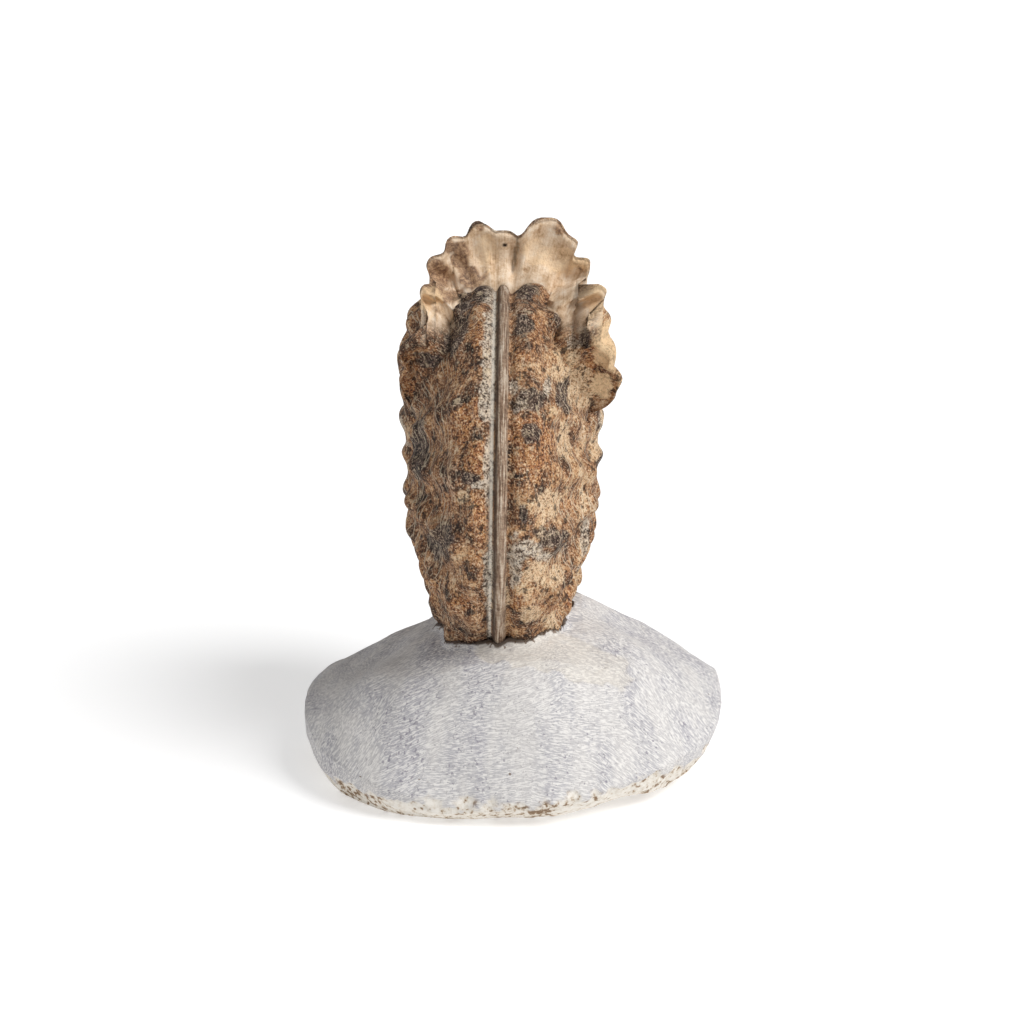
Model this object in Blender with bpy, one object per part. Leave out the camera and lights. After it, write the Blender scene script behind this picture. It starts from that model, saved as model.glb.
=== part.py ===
"""Ammonite fossil standing on edge in the block of limestone it was prepared out of.

The shell is one loosely coiled spiral. Its section, a rounded arch with a keel, grows in proportion to the
distance from the coil's axis, so every point is found from two numbers: how far back from the broken end
it lies, in degrees round the axis, and how far it lies across the whorl, from the keel out to the seam
where the whorl rests on the one inside it.

Axes: +Z up, the keel faces -Y at the front, and the coil's axis lies along X. Units are metres.
"""

import math

import bmesh
import bpy
import numpy as np

MM = 0.001

# Coil
END_RADIUS = 52.4 * MM        # axis to keel at the broken end
TURN_GROWTH = 1.341           # how much larger the shell is after each turn
END_ANGLE = 99.5              # where the venter breaks off: degrees up from the front horizontal
TURNS = 3.0                   # turns that are modelled, back from the broken end
SHIFT_Y = -0.977 * MM         # puts the middle of the whole object on the origin
COIL_CENTRE = (-2.7 * MM, SHIFT_Y, 70.2 * MM)
LEAN = 0.8                    # degrees that the coil leans towards +X at its top

# Section of the whorl: distance from the axis and half width, both as parts of the whorl's radius
SECTION = (
    (1.000, 0.000),           # keel
    (0.998, 0.095),
    (0.975, 0.172),           # edge of the flat venter
    (0.920, 0.238),
    (0.840, 0.288),
    (0.735, 0.332),           # outer flank
    (0.610, 0.396),
    (0.490, 0.456),
    (0.410, 0.472),           # widest
    (0.350, 0.444),           # umbilical shoulder
    (0.322, 0.398),
    (0.310, 0.352),           # seam
)
LANDING = 0.800               # across the inner whorl, where the next one rests on it

# Keel, ribs and tubercles, as parts of the whorl's radius
KEEL_HALF_WIDTH = 0.034
KEEL_HEIGHT = 0.026
KEEL_AT_END = 0.12            # share of the keel that is left at the broken end
KEEL_FADE = 16.0              # degrees over which it wears away towards that end
GROOVE_DEPTH = 0.022
RIBS_PER_TURN = 16
RIB_HEIGHT = 0.020
# Rows of tubercles on each flank: place across the whorl, number per turn, degrees back from the
# broken end of the first, height, and radius along and across the row. A row of one is a single lobe
# of the broken rim or, with a height below zero, a place that is worn away.
LEFT_TUBERCLES = (
    (0.115, 1, 0.0, 0.026, 0.140, 0.056),
    (0.130, 20, 6.1, 0.034, 0.070, 0.048),
    (0.245, 16, 0.0, 0.034, 0.080, 0.046),
    (0.365, 1, 0.0, 0.044, 0.140, 0.050),
    (0.430, 16, 0.0, 0.028, 0.084, 0.056),
    (0.430, 1, 0.0, -0.028, 0.084, 0.056),
    (0.520, 1, -45.0, 0.022, 0.120, 0.050),
    (0.600, 16, 0.0, 0.030, 0.088, 0.066),
    (0.650, 1, 197.0, -0.036, 0.320, 0.140),
    (0.740, 1, 178.0, -0.050, 0.640, 0.150),
    (0.740, 16, 0.0, 0.024, 0.088, 0.060),
)
RIGHT_TUBERCLES = (
    (0.124, 1, 0.0, 0.032, 0.150, 0.027),
    (0.200, 1, 0.0, 0.060, 0.150, 0.040),
    (0.140, 21, 4.4, 0.036, 0.072, 0.050),
    (0.270, 1, 0.0, 0.026, 0.150, 0.040),
    (0.385, 1, 0.0, 0.034, 0.150, 0.050),
    (0.315, 16, 0.0, 0.038, 0.080, 0.052),
    (0.435, 16, 0.0, 0.050, 0.090, 0.056),
    (0.435, 1, 0.0, -0.044, 0.090, 0.056),
    (0.470, 1, -22.5, 0.018, 0.120, 0.050),
    (0.565, 16, 0.0, 0.046, 0.090, 0.066),
    (0.650, 1, 197.0, -0.036, 0.320, 0.130),
    (0.740, 1, 178.0, -0.046, 0.600, 0.150),
    (0.760, 1, 258.0, 0.044, 0.180, 0.120),
    (0.715, 16, 0.0, 0.032, 0.090, 0.066),
)
END_BOOST = 0.55              # extra tubercle height at the broken end
END_BOOST_SPAN = 26.0         # degrees over which it fades
LEFT_END_NARROWING = (0.075, 0.11)   # share of its width that the -X side is crushed in at the broken
RIGHT_END_NARROWING = (-0.01, 0.05)  # end: over the whole flank, and more of it on the shoulder
NARROWING_SPAN = 55.0         # degrees over which that fades
SHOULDER = (0.58, 0.14)       # across the whorl, where that crushing begins and how far on it is complete

# Broken end: the flanks run on past the venter in two steps, whose edges slant down towards the keel
STEP_ANGLE = 22.5             # degrees from each step to the next: one rib
STEP_WIDTH = 0.040            # width across the whorl of a step's face
SPREAD_WIDTH = 0.280          # width over which the mesh rows between two breaks take up the same angle
SPREAD_TURN = 0.12            # share of a turn in which the rows go from one width to the other
RIM_STEPS = (0.430, 0.515)    # across the whorl, the middles of the steps at the rim
BASE_STEPS = (0.265, 0.365)   # and at the foot of the chamber wall
STEP_SLANTS = (0.0, 0.02, 0.04)   # shift of the edges towards the keel, ahead by no step, one and two
SLANT_FADE = (0.56, 0.16)     # across the whorl, where that shift begins to fade and how far on it ends
DISH_DEPTH = 2.4 * MM         # hollow of the last chamber wall
DISH_FADE = (0.60, 0.18)      # across the whorl, where the hollow begins to fade and how far on it ends
LIP = 0.6 * MM                # rounded rim that stands ahead of the break
LIP_PLACE = (0.10, 0.07)      # share of the way down the wall, and width
FOLD_DEPTH = 1.0 * MM         # radial folds of the wall
FOLD_SPACING = 0.120
FIRST_FOLD = 0.125
FOLD_CONVERGENCE = 0.8        # how much closer together the folds are at the foot of the wall
FOLD_FADE = 0.08              # across the whorl, where the folds begin beside the keel and end at the break
NOTCH_PLACE = 0.050           # crease beside the keel, on the +X side
NOTCH_WIDTH = 0.030
NOTCH_DEPTH = 1.8 * MM

# Block of matrix: half sizes of its outline and the heights of its parts
BLOCK_HALF_WIDTH = 48.7 * MM
BLOCK_FRONT = 50.0 * MM
BLOCK_BACK = 54.0 * MM
BLOCK_OUTLINE_POWER = 2.5
BLOCK_TOP = 39.0 * MM
# Heights in millimetres of its top along the front, the rear and the sides, by share of the way out
FRONT_SHARES = (0.0, 0.30, 0.50, 0.70, 0.78, 0.92, 1.0)
FRONT_HEIGHTS = (39.0, 39.0, 38.0, 34.2, 30.0, 17.0, 6.0)
REAR_SHARES = (0.0, 0.30, 0.50, 0.75, 1.0)
REAR_HEIGHTS = (39.0, 34.5, 26.5, 15.5, 8.0)
SIDE_SHARES = (0.0, 0.33, 0.65, 0.85, 1.0)
SIDE_HEIGHTS = (39.0, 37.0, 28.5, 22.0, 16.5)
LEFT_LOWERING = 3.8 * MM      # the -X slope is this much lower half way out
LEFT_END_LOWERING = 3.0 * MM  # and this much more at its edge
FOOT_LIFT = 3.6 * MM          # gap under the +X front edge, where it stands clear of the table
FOOT_LIFT_ANGLE = -0.6        # its direction, in radians from +X
LUMP_SIZE = 26.0 * MM         # slow waves of the scraped surface
LUMP_HEIGHT = 0.9 * MM
LUMP_FADE = 3.0 * MM          # height above the table below which they die away
# Rings below the outline: how far in, share of the edge's height, and share of the foot's lift
EDGE_RINGS = ((0.3 * MM, 0.62, 1.0), (2.2 * MM, 0.30, 1.0), (4.6 * MM, 0.04, 1.0))
FOOT_INSET = 7.5 * MM
FOOT_LIFT_INSET = 2.5         # the foot lies this much further in for each unit of its lift
SEAM_GAP = 0.3 * MM           # clearance between the fossil and its block
SEAT_ALLOWANCE = 1.15         # extra growth of the cutter, for the chords of its faces

# Unevenness of the shell
SHELL_LUMP_SIZE = 19.0 * MM
SHELL_LUMP_HEIGHT = 0.5 * MM
LUMP_DRIFT = 0.4 * MM         # how fast the lumps change from turn to turn, for each degree

# Colours of the two stones
FOSSIL_COLOUR = (0.36, 0.21, 0.12)
BLOCK_COLOUR = (0.66, 0.65, 0.66)

# Mesh sizes
ROWS_PER_TURN = 200
COLUMNS_PER_FLANK = 58
CHAMBER_ROWS = 18
WEAR_PASSES = 4               # smoothing that rounds the edges off
FOSSIL_TRIANGLES = 7000
BLOCK_SECTORS = 56
BLOCK_RINGS = 17
FIRST_RING = 0.06             # share of the way out
PROJECT_NAME = "ammonite_fossil"


def smooth_step(x):
    """0 below 0, 1 above 1, and a smooth rise between."""
    x = np.clip(x, 0.0, 1.0)
    return x * x * (3.0 - 2.0 * x)


def curve_through(points, place):
    """Catmull-Rom curve through points, read at place, 0 to 1 along its length."""
    points = np.asarray(points, float)
    padded = np.vstack((2.0 * points[0] - points[1], points, 2.0 * points[-1] - points[-2]))
    steps = np.linspace(0.0, 1.0, 24, endpoint=False)[:, None]
    pieces = []
    for i in range(len(points) - 1):
        p0, p1, p2, p3 = padded[i:i + 4]
        pieces.append(0.5 * (2.0 * p1 + (p2 - p0) * steps
                             + (2.0 * p0 - 5.0 * p1 + 4.0 * p2 - p3) * steps ** 2
                             + (3.0 * p1 - p0 - 3.0 * p2 + p3) * steps ** 3))
    curve = np.vstack(pieces + [points[-1:]])
    length = np.concatenate(([0.0], np.cumsum(np.linalg.norm(np.diff(curve, axis=0), axis=1))))
    length /= length[-1]
    return np.stack([np.interp(place, length, curve[:, i]) for i in range(curve.shape[1])], axis=-1)


def soft_lumps(x, y, z, size):
    """Smooth uneven field between about -1 and 1 whose lumps are about size across."""
    k = 2.0 * math.pi / size
    field = np.sin(k * (0.83 * x + 0.41 * y - 0.37 * z) + 1.3)
    field = field + np.sin(k * (-0.46 * x + 0.71 * y + 0.59 * z) + 4.1)
    field = field + np.sin(k * (0.29 * x - 0.66 * y + 0.81 * z) + 2.6)
    field = field + 0.7 * np.sin(k * 1.9 * (0.57 * x + 0.33 * y + 0.62 * z) + 0.4)
    field = field + 0.7 * np.sin(k * 1.9 * (-0.71 * x + 0.52 * y - 0.31 * z) + 5.3)
    return field / 3.2


def whorl_radius(back):
    """Axis to keel, back degrees before the broken end."""
    return END_RADIUS * TURN_GROWTH ** (-back / 360.0)


def end_lead(column, share=0.0, width=STEP_WIDTH):
    """Where the break lies, in degrees: negative where the flank runs on past the venter.

    The share, from 0 at the rim to 1 one turn back or at the foot of the chamber wall, moves the steps.
    """
    lead = 0.0
    for at_rim, at_base in zip(RIM_STEPS, BASE_STEPS):
        middle = at_rim + (at_base - at_rim) * np.clip(share, 0.0, 1.0)
        lead = lead - STEP_ANGLE * smooth_step((np.abs(column) - middle) / width + 0.5)
    return lead


def slanted(column, back):
    """Place across the whorl of a mesh column: columns near a step follow its slanting edge."""
    side = np.abs(column)
    shift = np.interp(-back / STEP_ANGLE, np.arange(len(STEP_SLANTS)), STEP_SLANTS)
    fade_start, fade_width = SLANT_FADE
    return (side - shift * (1.0 - smooth_step((side - fade_start) / fade_width))) * np.sign(column)


def tubercle_row(back, across, row, lead):
    """Height of one row of tubercles: equal rounded peaks, spaced evenly round the coil."""
    place, count, phase, height, along_size, across_size = row
    spacing = 360.0 / count
    offset = (back - phase + 0.5 * spacing) % spacing - 0.5 * spacing
    along = np.radians(offset) * 0.85 / along_size
    sideways = (np.abs(across) - place) / across_size
    boost = 1.0 + END_BOOST * np.exp(-((back - lead) / END_BOOST_SPAN) ** 2)
    return height * boost * np.exp(-(along ** 2 + sideways ** 2) ** 1.25)


def keel_relief(across):
    """Rounded keel standing between two grooves, as a part of the whorl's radius."""
    side = np.abs(across) / KEEL_HALF_WIDTH
    rod = KEEL_HEIGHT * np.sqrt(np.clip(1.0 - side ** 2, 0.0, 1.0))
    return rod - GROOVE_DEPTH * np.exp(-((side - 1.35) / 0.6) ** 2)


def relief(back, across, lead):
    """Height above the plain section, as a part of the whorl's radius."""
    side = np.abs(across)
    crest = (0.5 + 0.5 * np.cos(np.radians(back * RIBS_PER_TURN))) ** 1.4
    band = smooth_step((side - 0.16) / 0.14) * smooth_step((0.93 - side) / 0.12)
    ribs = RIB_HEIGHT * band * (crest - 0.35)
    left = sum(tubercle_row(back, across, row, lead) for row in LEFT_TUBERCLES)
    right = sum(tubercle_row(back, across, row, lead) for row in RIGHT_TUBERCLES)
    worn = KEEL_AT_END + (1.0 - KEEL_AT_END) * smooth_step((back - lead) / KEEL_FADE)
    return keel_relief(across) * worn + ribs + np.where(across < 0.0, left, right)


def place_in_coil(distance, sideways, back):
    """Turns distance from the axis, place along it, and degrees back into x, y and z."""
    angle = np.radians(END_ANGLE + back)
    x = sideways
    y = -distance * np.cos(angle)
    z = distance * np.sin(angle)
    lean = math.radians(LEAN)
    return np.stack((COIL_CENTRE[0] + x * math.cos(lean) + z * math.sin(lean),
                     COIL_CENTRE[1] + y,
                     COIL_CENTRE[2] - x * math.sin(lean) + z * math.cos(lean)), axis=-1)


def section_at(back, column):
    """Distance from the axis and signed half width of the shell's surface."""
    back, column = np.broadcast_arrays(np.asarray(back, float), np.asarray(column, float))
    lead = end_lead(column)
    across = slanted(column, back)
    side = np.abs(across)
    here = curve_through(SECTION, side)
    ahead = curve_through(SECTION, np.minimum(side + 0.01, 1.0))
    behind = curve_through(SECTION, np.maximum(side - 0.01, 0.0))
    tangent = ahead - behind
    tangent /= np.linalg.norm(tangent, axis=-1, keepdims=True)
    radius = whorl_radius(back)
    x, y, z = radius * here[..., 1] * np.sign(across), radius * np.cos(np.radians(back)), back * LUMP_DRIFT
    lumps = SHELL_LUMP_HEIGHT * soft_lumps(x, y, z, SHELL_LUMP_SIZE)
    height = radius * relief(back, across, lead) + lumps * smooth_step((side - 0.05) / 0.1)
    distance = radius * here[..., 0] + height * tangent[..., 1]
    sideways = radius * here[..., 1] - height * tangent[..., 0]
    on_shoulder = smooth_step((side - SHOULDER[0]) / SHOULDER[1])
    left, right = (flank + shoulder * on_shoulder
                   for flank, shoulder in (LEFT_END_NARROWING, RIGHT_END_NARROWING))
    fading = np.exp(-(np.maximum(back - lead, 0.0) / NARROWING_SPAN) ** 2)
    crushed = 1.0 - np.where(across < 0.0, left, right) * fading
    return distance, sideways * crushed * np.sign(across)


def flank_columns(count):
    """Places across one flank, closer together at the keel and the steps, with one on the landing line."""
    fine = np.linspace(0.0, 1.0, 500)
    stepped = smooth_step((fine - BASE_STEPS[0]) / 0.05) * smooth_step((RIM_STEPS[-1] + 0.08 - fine) / 0.05)
    density = 1.0 + 2.5 * np.exp(-(fine / 0.06) ** 2) + 1.2 * stepped
    total = np.concatenate(([0.0], np.cumsum(0.5 * (density[1:] + density[:-1]))))
    columns = np.interp(np.linspace(0.0, total[-1], count + 1), total, fine)
    landing = int(np.argmin(np.abs(columns - LANDING)))
    columns[landing] = LANDING
    return columns, landing


def mesh_object(name, points, faces, collection):
    """Object with the given mesh, merged and with its faces pointing out."""
    mesh = bpy.data.meshes.new(name)
    mesh.from_pydata([tuple(p) for p in points], [], faces)
    work = bmesh.new()
    work.from_mesh(mesh)
    bmesh.ops.recalc_face_normals(work, faces=work.faces)
    if work.calc_volume(signed=True) < 0.0:
        bmesh.ops.reverse_faces(work, faces=work.faces)
    bmesh.ops.triangulate(work, faces=work.faces)
    work.to_mesh(mesh)
    work.free()
    mesh.shade_smooth()
    made = bpy.data.objects.new(name, mesh)
    collection.objects.link(made)
    return made


def coil_mesh():
    """Vertices and faces of the whole shell: spiral strip, chamber wall and the two plugged centres."""
    half, landing = flank_columns(COLUMNS_PER_FLANK)
    columns = np.concatenate((-half[:0:-1], half))
    middle = COLUMNS_PER_FLANK
    width = len(columns)
    left_land = middle - landing
    right_land = middle + landing
    rows = int(TURNS * ROWS_PER_TURN)
    turns_back = np.arange(rows + 1)[:, None] / ROWS_PER_TURN
    spread = smooth_step(turns_back / SPREAD_TURN) * smooth_step(np.abs(turns_back - 1.0) / SPREAD_TURN)
    step_width = STEP_WIDTH + (SPREAD_WIDTH - STEP_WIDTH) * spread
    back = 360.0 * turns_back + end_lead(columns[None, :], turns_back, step_width)
    distance, sideways = section_at(back, columns[None, :])
    grid = place_in_coil(distance, sideways, back)
    index = np.full((rows + 1, width), -1)
    used = np.zeros((rows + 1, width), bool)
    used[:ROWS_PER_TURN + 1] = True
    used[ROWS_PER_TURN + 1:, :left_land + 1] = True
    used[ROWS_PER_TURN + 1:, right_land:] = True
    used[:rows - ROWS_PER_TURN + 1, 0] = False
    used[:rows - ROWS_PER_TURN + 1, -1] = False
    index[used] = np.arange(used.sum())
    points = list(grid[used])
    for row in range(rows - ROWS_PER_TURN, -1, -1):
        index[row, 0] = index[row + ROWS_PER_TURN, left_land]
        index[row, -1] = index[row + ROWS_PER_TURN, right_land]

    faces = []

    def add_face(*corners):
        ring = []
        for corner in corners:
            if corner not in ring:
                ring.append(corner)
        if len(ring) > 2:
            faces.append(ring)

    for row in range(rows):
        outer = row < ROWS_PER_TURN
        for column in range(width - 1):
            if outer or column < left_land or column >= right_land:
                add_face(index[row, column], index[row, column + 1],
                         index[row + 1, column + 1], index[row + 1, column])

    chamber = chamber_wall(columns, distance[0], sideways[0], left_land, right_land,
                           distance[ROWS_PER_TURN], sideways[ROWS_PER_TURN])
    wall = np.empty((CHAMBER_ROWS + 1, width), int)
    wall[0] = index[0]
    wall[-1] = index[ROWS_PER_TURN, np.clip(np.arange(width), left_land, right_land)]
    for row in range(1, CHAMBER_ROWS):
        for column in range(width):
            if column in (0, width - 1):
                wall[row, column] = index[0, column]
            else:
                wall[row, column] = len(points)
                points.append(chamber[row, column])
    for row in range(CHAMBER_ROWS):
        for column in range(width - 1):
            add_face(wall[row, column], wall[row, column + 1],
                     wall[row + 1, column + 1], wall[row + 1, column])

    for edge, land, sign in ((0, left_land, -1.0), (width - 1, right_land, 1.0)):
        inner = [index[row, edge] for row in range(rows - ROWS_PER_TURN, rows + 1)]
        step = 1 if land > edge else -1
        inner += [index[rows, column] for column in range(edge + step, land, step)]
        middle_point = np.mean([points[i] for i in inner], axis=0)
        centre = len(points)
        points.append(middle_point)
        for i, corner in enumerate(inner):
            add_face(corner, inner[(i + 1) % len(inner)], centre)
    return points, faces


def chamber_wall(columns, rim_distance, rim_sideways, left_land, right_land, base_distance, base_sideways):
    """Points of the last chamber wall: straight across from the rim to the inner whorl, dished and folded."""
    foot = np.clip(np.arange(len(columns)), left_land, right_land)
    share = np.linspace(0.0, 1.0, CHAMBER_ROWS + 1)[:, None]
    keel_share = (1.0 - share) * KEEL_AT_END + share / TURN_GROWTH
    keel = END_RADIUS * keel_share * keel_relief(columns)[None, :]
    distance = (1.0 - share) * rim_distance + share * base_distance[foot]
    distance = distance - keel * smooth_step(4.0 * share) * smooth_step(4.0 * (1.0 - share))
    sideways = (1.0 - share) * rim_sideways + share * base_sideways[foot]
    side = np.abs(columns)[None, :]
    dish = DISH_DEPTH * np.sin(math.pi * share) ** 2 * (1.0 - smooth_step((side - DISH_FADE[0]) / DISH_FADE[1]))
    phase = (side * (1.0 + FOLD_CONVERGENCE * share) - FIRST_FOLD) / FOLD_SPACING
    fold = FOLD_DEPTH * np.sin(math.pi * share) * np.cos(2.0 * math.pi * phase)
    fold = fold * smooth_step(side / FOLD_FADE) * (1.0 - smooth_step((side - RIM_STEPS[0]) / FOLD_FADE))
    notch = NOTCH_DEPTH * np.sin(math.pi * np.clip(share + 0.12, 0.0, 1.0))
    notch = notch * np.exp(-((columns[None, :] - NOTCH_PLACE) / NOTCH_WIDTH) ** 2)
    lip = LIP * np.exp(-((share - LIP_PLACE[0]) / LIP_PLACE[1]) ** 2)
    depth = dish - fold + notch - lip
    back = end_lead(columns[None, :], share) + np.degrees(depth / distance)
    return place_in_coil(distance, sideways, back)


def make_ammonite(collection):
    points, faces = coil_mesh()
    shell = mesh_object("ammonite", points, faces, collection)
    worn = shell.modifiers.new("worn_edges", "SMOOTH")
    worn.factor = 0.5
    worn.iterations = WEAR_PASSES
    thin = shell.modifiers.new("fewer_faces", "DECIMATE")
    thin.ratio = FOSSIL_TRIANGLES / len(shell.data.polygons)
    return shell


def block_outline(angle):
    """Distance from the block's middle to its widest line: a rounded box, uneven as broken rock is."""
    reach = np.where(np.sin(angle) < 0.0, BLOCK_FRONT, BLOCK_BACK)
    power = BLOCK_OUTLINE_POWER
    plain = (np.abs(np.cos(angle) / BLOCK_HALF_WIDTH) ** power
             + np.abs(np.sin(angle) / reach) ** power) ** (-1.0 / power)
    uneven = 0.9 * np.sin(3.0 * angle + 0.8) + 0.7 * np.sin(5.0 * angle + 2.2) + 0.4 * np.sin(8.0 * angle)
    return plain + uneven * MM * np.sin(angle) ** 2


def block_surface(angle, share):
    """Height of the block's top at share of the way from its middle to its outline."""
    front = np.clip(-np.sin(angle), 0.0, 1.0) ** 2
    rear = np.clip(np.sin(angle), 0.0, 1.0) ** 2
    side = np.cos(angle) ** 2
    heights = (np.interp(share, FRONT_SHARES, FRONT_HEIGHTS) * front
               + np.interp(share, REAR_SHARES, REAR_HEIGHTS) * rear
               + np.interp(share, SIDE_SHARES, SIDE_HEIGHTS) * side)
    lowered = LEFT_LOWERING * np.sin(math.pi * np.clip(share, 0.0, 1.0)) + LEFT_END_LOWERING * share ** 2
    lowered = lowered * np.clip(-np.cos(angle), 0.0, 1.0)
    return heights * MM - lowered


def block_mesh():
    """Vertices and faces of the block: rings from the middle of the top, over the edge and under."""
    angle = np.arange(BLOCK_SECTORS) * (2.0 * math.pi / BLOCK_SECTORS)
    outline = block_outline(angle)
    lift = FOOT_LIFT * np.clip(np.cos(angle - FOOT_LIFT_ANGLE), 0.0, 1.0) ** 2
    edge = block_surface(angle, 1.0)
    rings = [(outline * share, block_surface(angle, share))
             for share in np.linspace(FIRST_RING, 1.0, BLOCK_RINGS)]
    rings += [(outline - inset, edge * share + lift * lifted) for inset, share, lifted in EDGE_RINGS]
    rings.append((outline - FOOT_INSET - FOOT_LIFT_INSET * lift, np.zeros(BLOCK_SECTORS)))
    points = []
    for reach, height in rings:
        x = reach * np.cos(angle)
        y = reach * np.sin(angle)
        bump = soft_lumps(x, y, height, LUMP_SIZE) * LUMP_HEIGHT * smooth_step(height / LUMP_FADE)
        points += list(np.stack((x, y + SHIFT_Y, height + bump), axis=-1))
    faces = []
    for ring in range(len(rings) - 1):
        for sector in range(BLOCK_SECTORS):
            following = (sector + 1) % BLOCK_SECTORS
            a = ring * BLOCK_SECTORS
            b = a + BLOCK_SECTORS
            faces.append((a + sector, b + sector, b + following, a + following))
    top = len(points)
    points.append(np.array((0.0, SHIFT_Y, BLOCK_TOP)))
    bottom = len(points)
    points.append(np.array((0.0, SHIFT_Y, 0.0)))
    last = (len(rings) - 1) * BLOCK_SECTORS
    for sector in range(BLOCK_SECTORS):
        following = (sector + 1) % BLOCK_SECTORS
        faces.append((top, sector, following))
        faces.append((bottom, last + following, last + sector))
    return points, faces


def make_block(collection, cutters, ammonite):
    """Block with the fossil's own seat cut into it, SEAM_GAP wider than the fossil all round."""
    points, faces = block_mesh()
    block = mesh_object("matrix_base", points, faces, collection)
    bpy.context.view_layer.update()
    evaluated = ammonite.evaluated_get(bpy.context.evaluated_depsgraph_get())
    seat_mesh = bpy.data.meshes.new_from_object(evaluated)
    seat = bpy.data.objects.new("seat_cutter", seat_mesh)
    cutters.objects.link(seat)
    swell = seat.modifiers.new("clearance", "DISPLACE")
    swell.strength = SEAM_GAP * SEAT_ALLOWANCE
    swell.mid_level = 0.0
    seat.hide_render = True
    seat.display_type = "WIRE"
    cut = block.modifiers.new("seat", "BOOLEAN")
    cut.operation = "DIFFERENCE"
    cut.solver = "EXACT"
    cut.object = seat
    return block


def stone_material(name, colour, roughness):
    material = bpy.data.materials.new(name)
    material.use_nodes = True
    shader = material.node_tree.nodes["Principled BSDF"]
    shader.inputs["Base Color"].default_value = (*colour, 1.0)
    shader.inputs["Roughness"].default_value = roughness
    shader.inputs["Metallic"].default_value = 0.0
    return material


def main():
    for old in list(bpy.data.objects):
        bpy.data.objects.remove(old)
    parts = bpy.data.collections.new(PROJECT_NAME)
    cutters = bpy.data.collections.new("cutters")
    for collection in (parts, cutters):
        bpy.context.scene.collection.children.link(collection)
    ammonite = make_ammonite(parts)
    ammonite.data.materials.append(stone_material("fossil_stone", FOSSIL_COLOUR, 0.85))
    block = make_block(parts, cutters, ammonite)
    block.data.materials.append(stone_material("limestone_matrix", BLOCK_COLOUR, 0.92))


main()
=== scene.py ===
"""Ammonite fossil on its block of limestone: the finish of both stones, the floor, the light and the camera.

Both stones are surfaces worked out with numpy from a few sizes. The shell is one spiral whose section grows
in proportion to its distance from the coil's axis, so a point on it has two coordinates: how far back from
the broken end it lies, in degrees round the axis, and how far across the whorl, 0 on the keel and 1 at the
seam where the whorl rests on the one inside it, negative on the -X side. Units are metres.
"""

import math
from functools import partial

import bpy
import numpy as np
from bpy.props import FloatProperty, FloatVectorProperty, IntProperty, PointerProperty
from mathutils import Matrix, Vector


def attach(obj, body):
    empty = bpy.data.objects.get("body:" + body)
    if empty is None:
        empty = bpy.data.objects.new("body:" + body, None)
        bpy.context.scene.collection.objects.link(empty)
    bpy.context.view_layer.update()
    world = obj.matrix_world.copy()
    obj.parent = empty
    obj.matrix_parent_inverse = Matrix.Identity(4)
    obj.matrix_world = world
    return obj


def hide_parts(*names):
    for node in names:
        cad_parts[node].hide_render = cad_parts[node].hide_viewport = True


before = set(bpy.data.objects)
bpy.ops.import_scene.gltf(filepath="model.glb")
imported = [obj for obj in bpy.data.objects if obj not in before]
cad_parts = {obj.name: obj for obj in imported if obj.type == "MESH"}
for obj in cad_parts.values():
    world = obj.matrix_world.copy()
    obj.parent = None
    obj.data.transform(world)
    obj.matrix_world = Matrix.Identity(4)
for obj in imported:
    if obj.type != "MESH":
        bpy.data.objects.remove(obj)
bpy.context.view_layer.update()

bl_info = {
    "name": "Ammonite on Matrix",
    "version": (1, 0, 0),
    "blender": (4, 5, 0),
    "location": "View3D > Sidebar > Ammonite",
    "description": "Makes a keeled ammonite fossil standing in its limestone block",
    "category": "Add Mesh",
}

MM = 0.001
COLOUR = {"subtype": "COLOR", "size": 4, "min": 0.0, "max": 1.0}   # what every colour setting is
TURNS = 3
SHIFT_Y = -0.977 * MM         # puts the middle of the whole object on the origin
COIL_CENTRE = (-2.7 * MM, SHIFT_Y, 70.2 * MM)

# Section of the whorl: distance from the axis and half width, both as parts of the whorl's radius
SECTION = (
    (1.000, 0.000),
    (0.998, 0.095),
    (0.975, 0.172),
    (0.920, 0.238),
    (0.840, 0.288),
    (0.735, 0.332),
    (0.610, 0.396),
    (0.490, 0.456),
    (0.410, 0.472),
    (0.350, 0.444),
    (0.322, 0.398),
    (0.310, 0.352),
)
LANDING = 0.800               # across the inner whorl, where the next one rests on it
KEEL_HALF_WIDTH = 0.034
KEEL_HEIGHT = 0.026
KEEL_AT_END = 0.12            # share of the keel that is left at the broken end
KEEL_FADE = 16.0              # degrees over which it wears away towards that end
GROOVE_DEPTH = 0.022
RIBS_PER_TURN = 16
RIB_HEIGHT = 0.020
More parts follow.
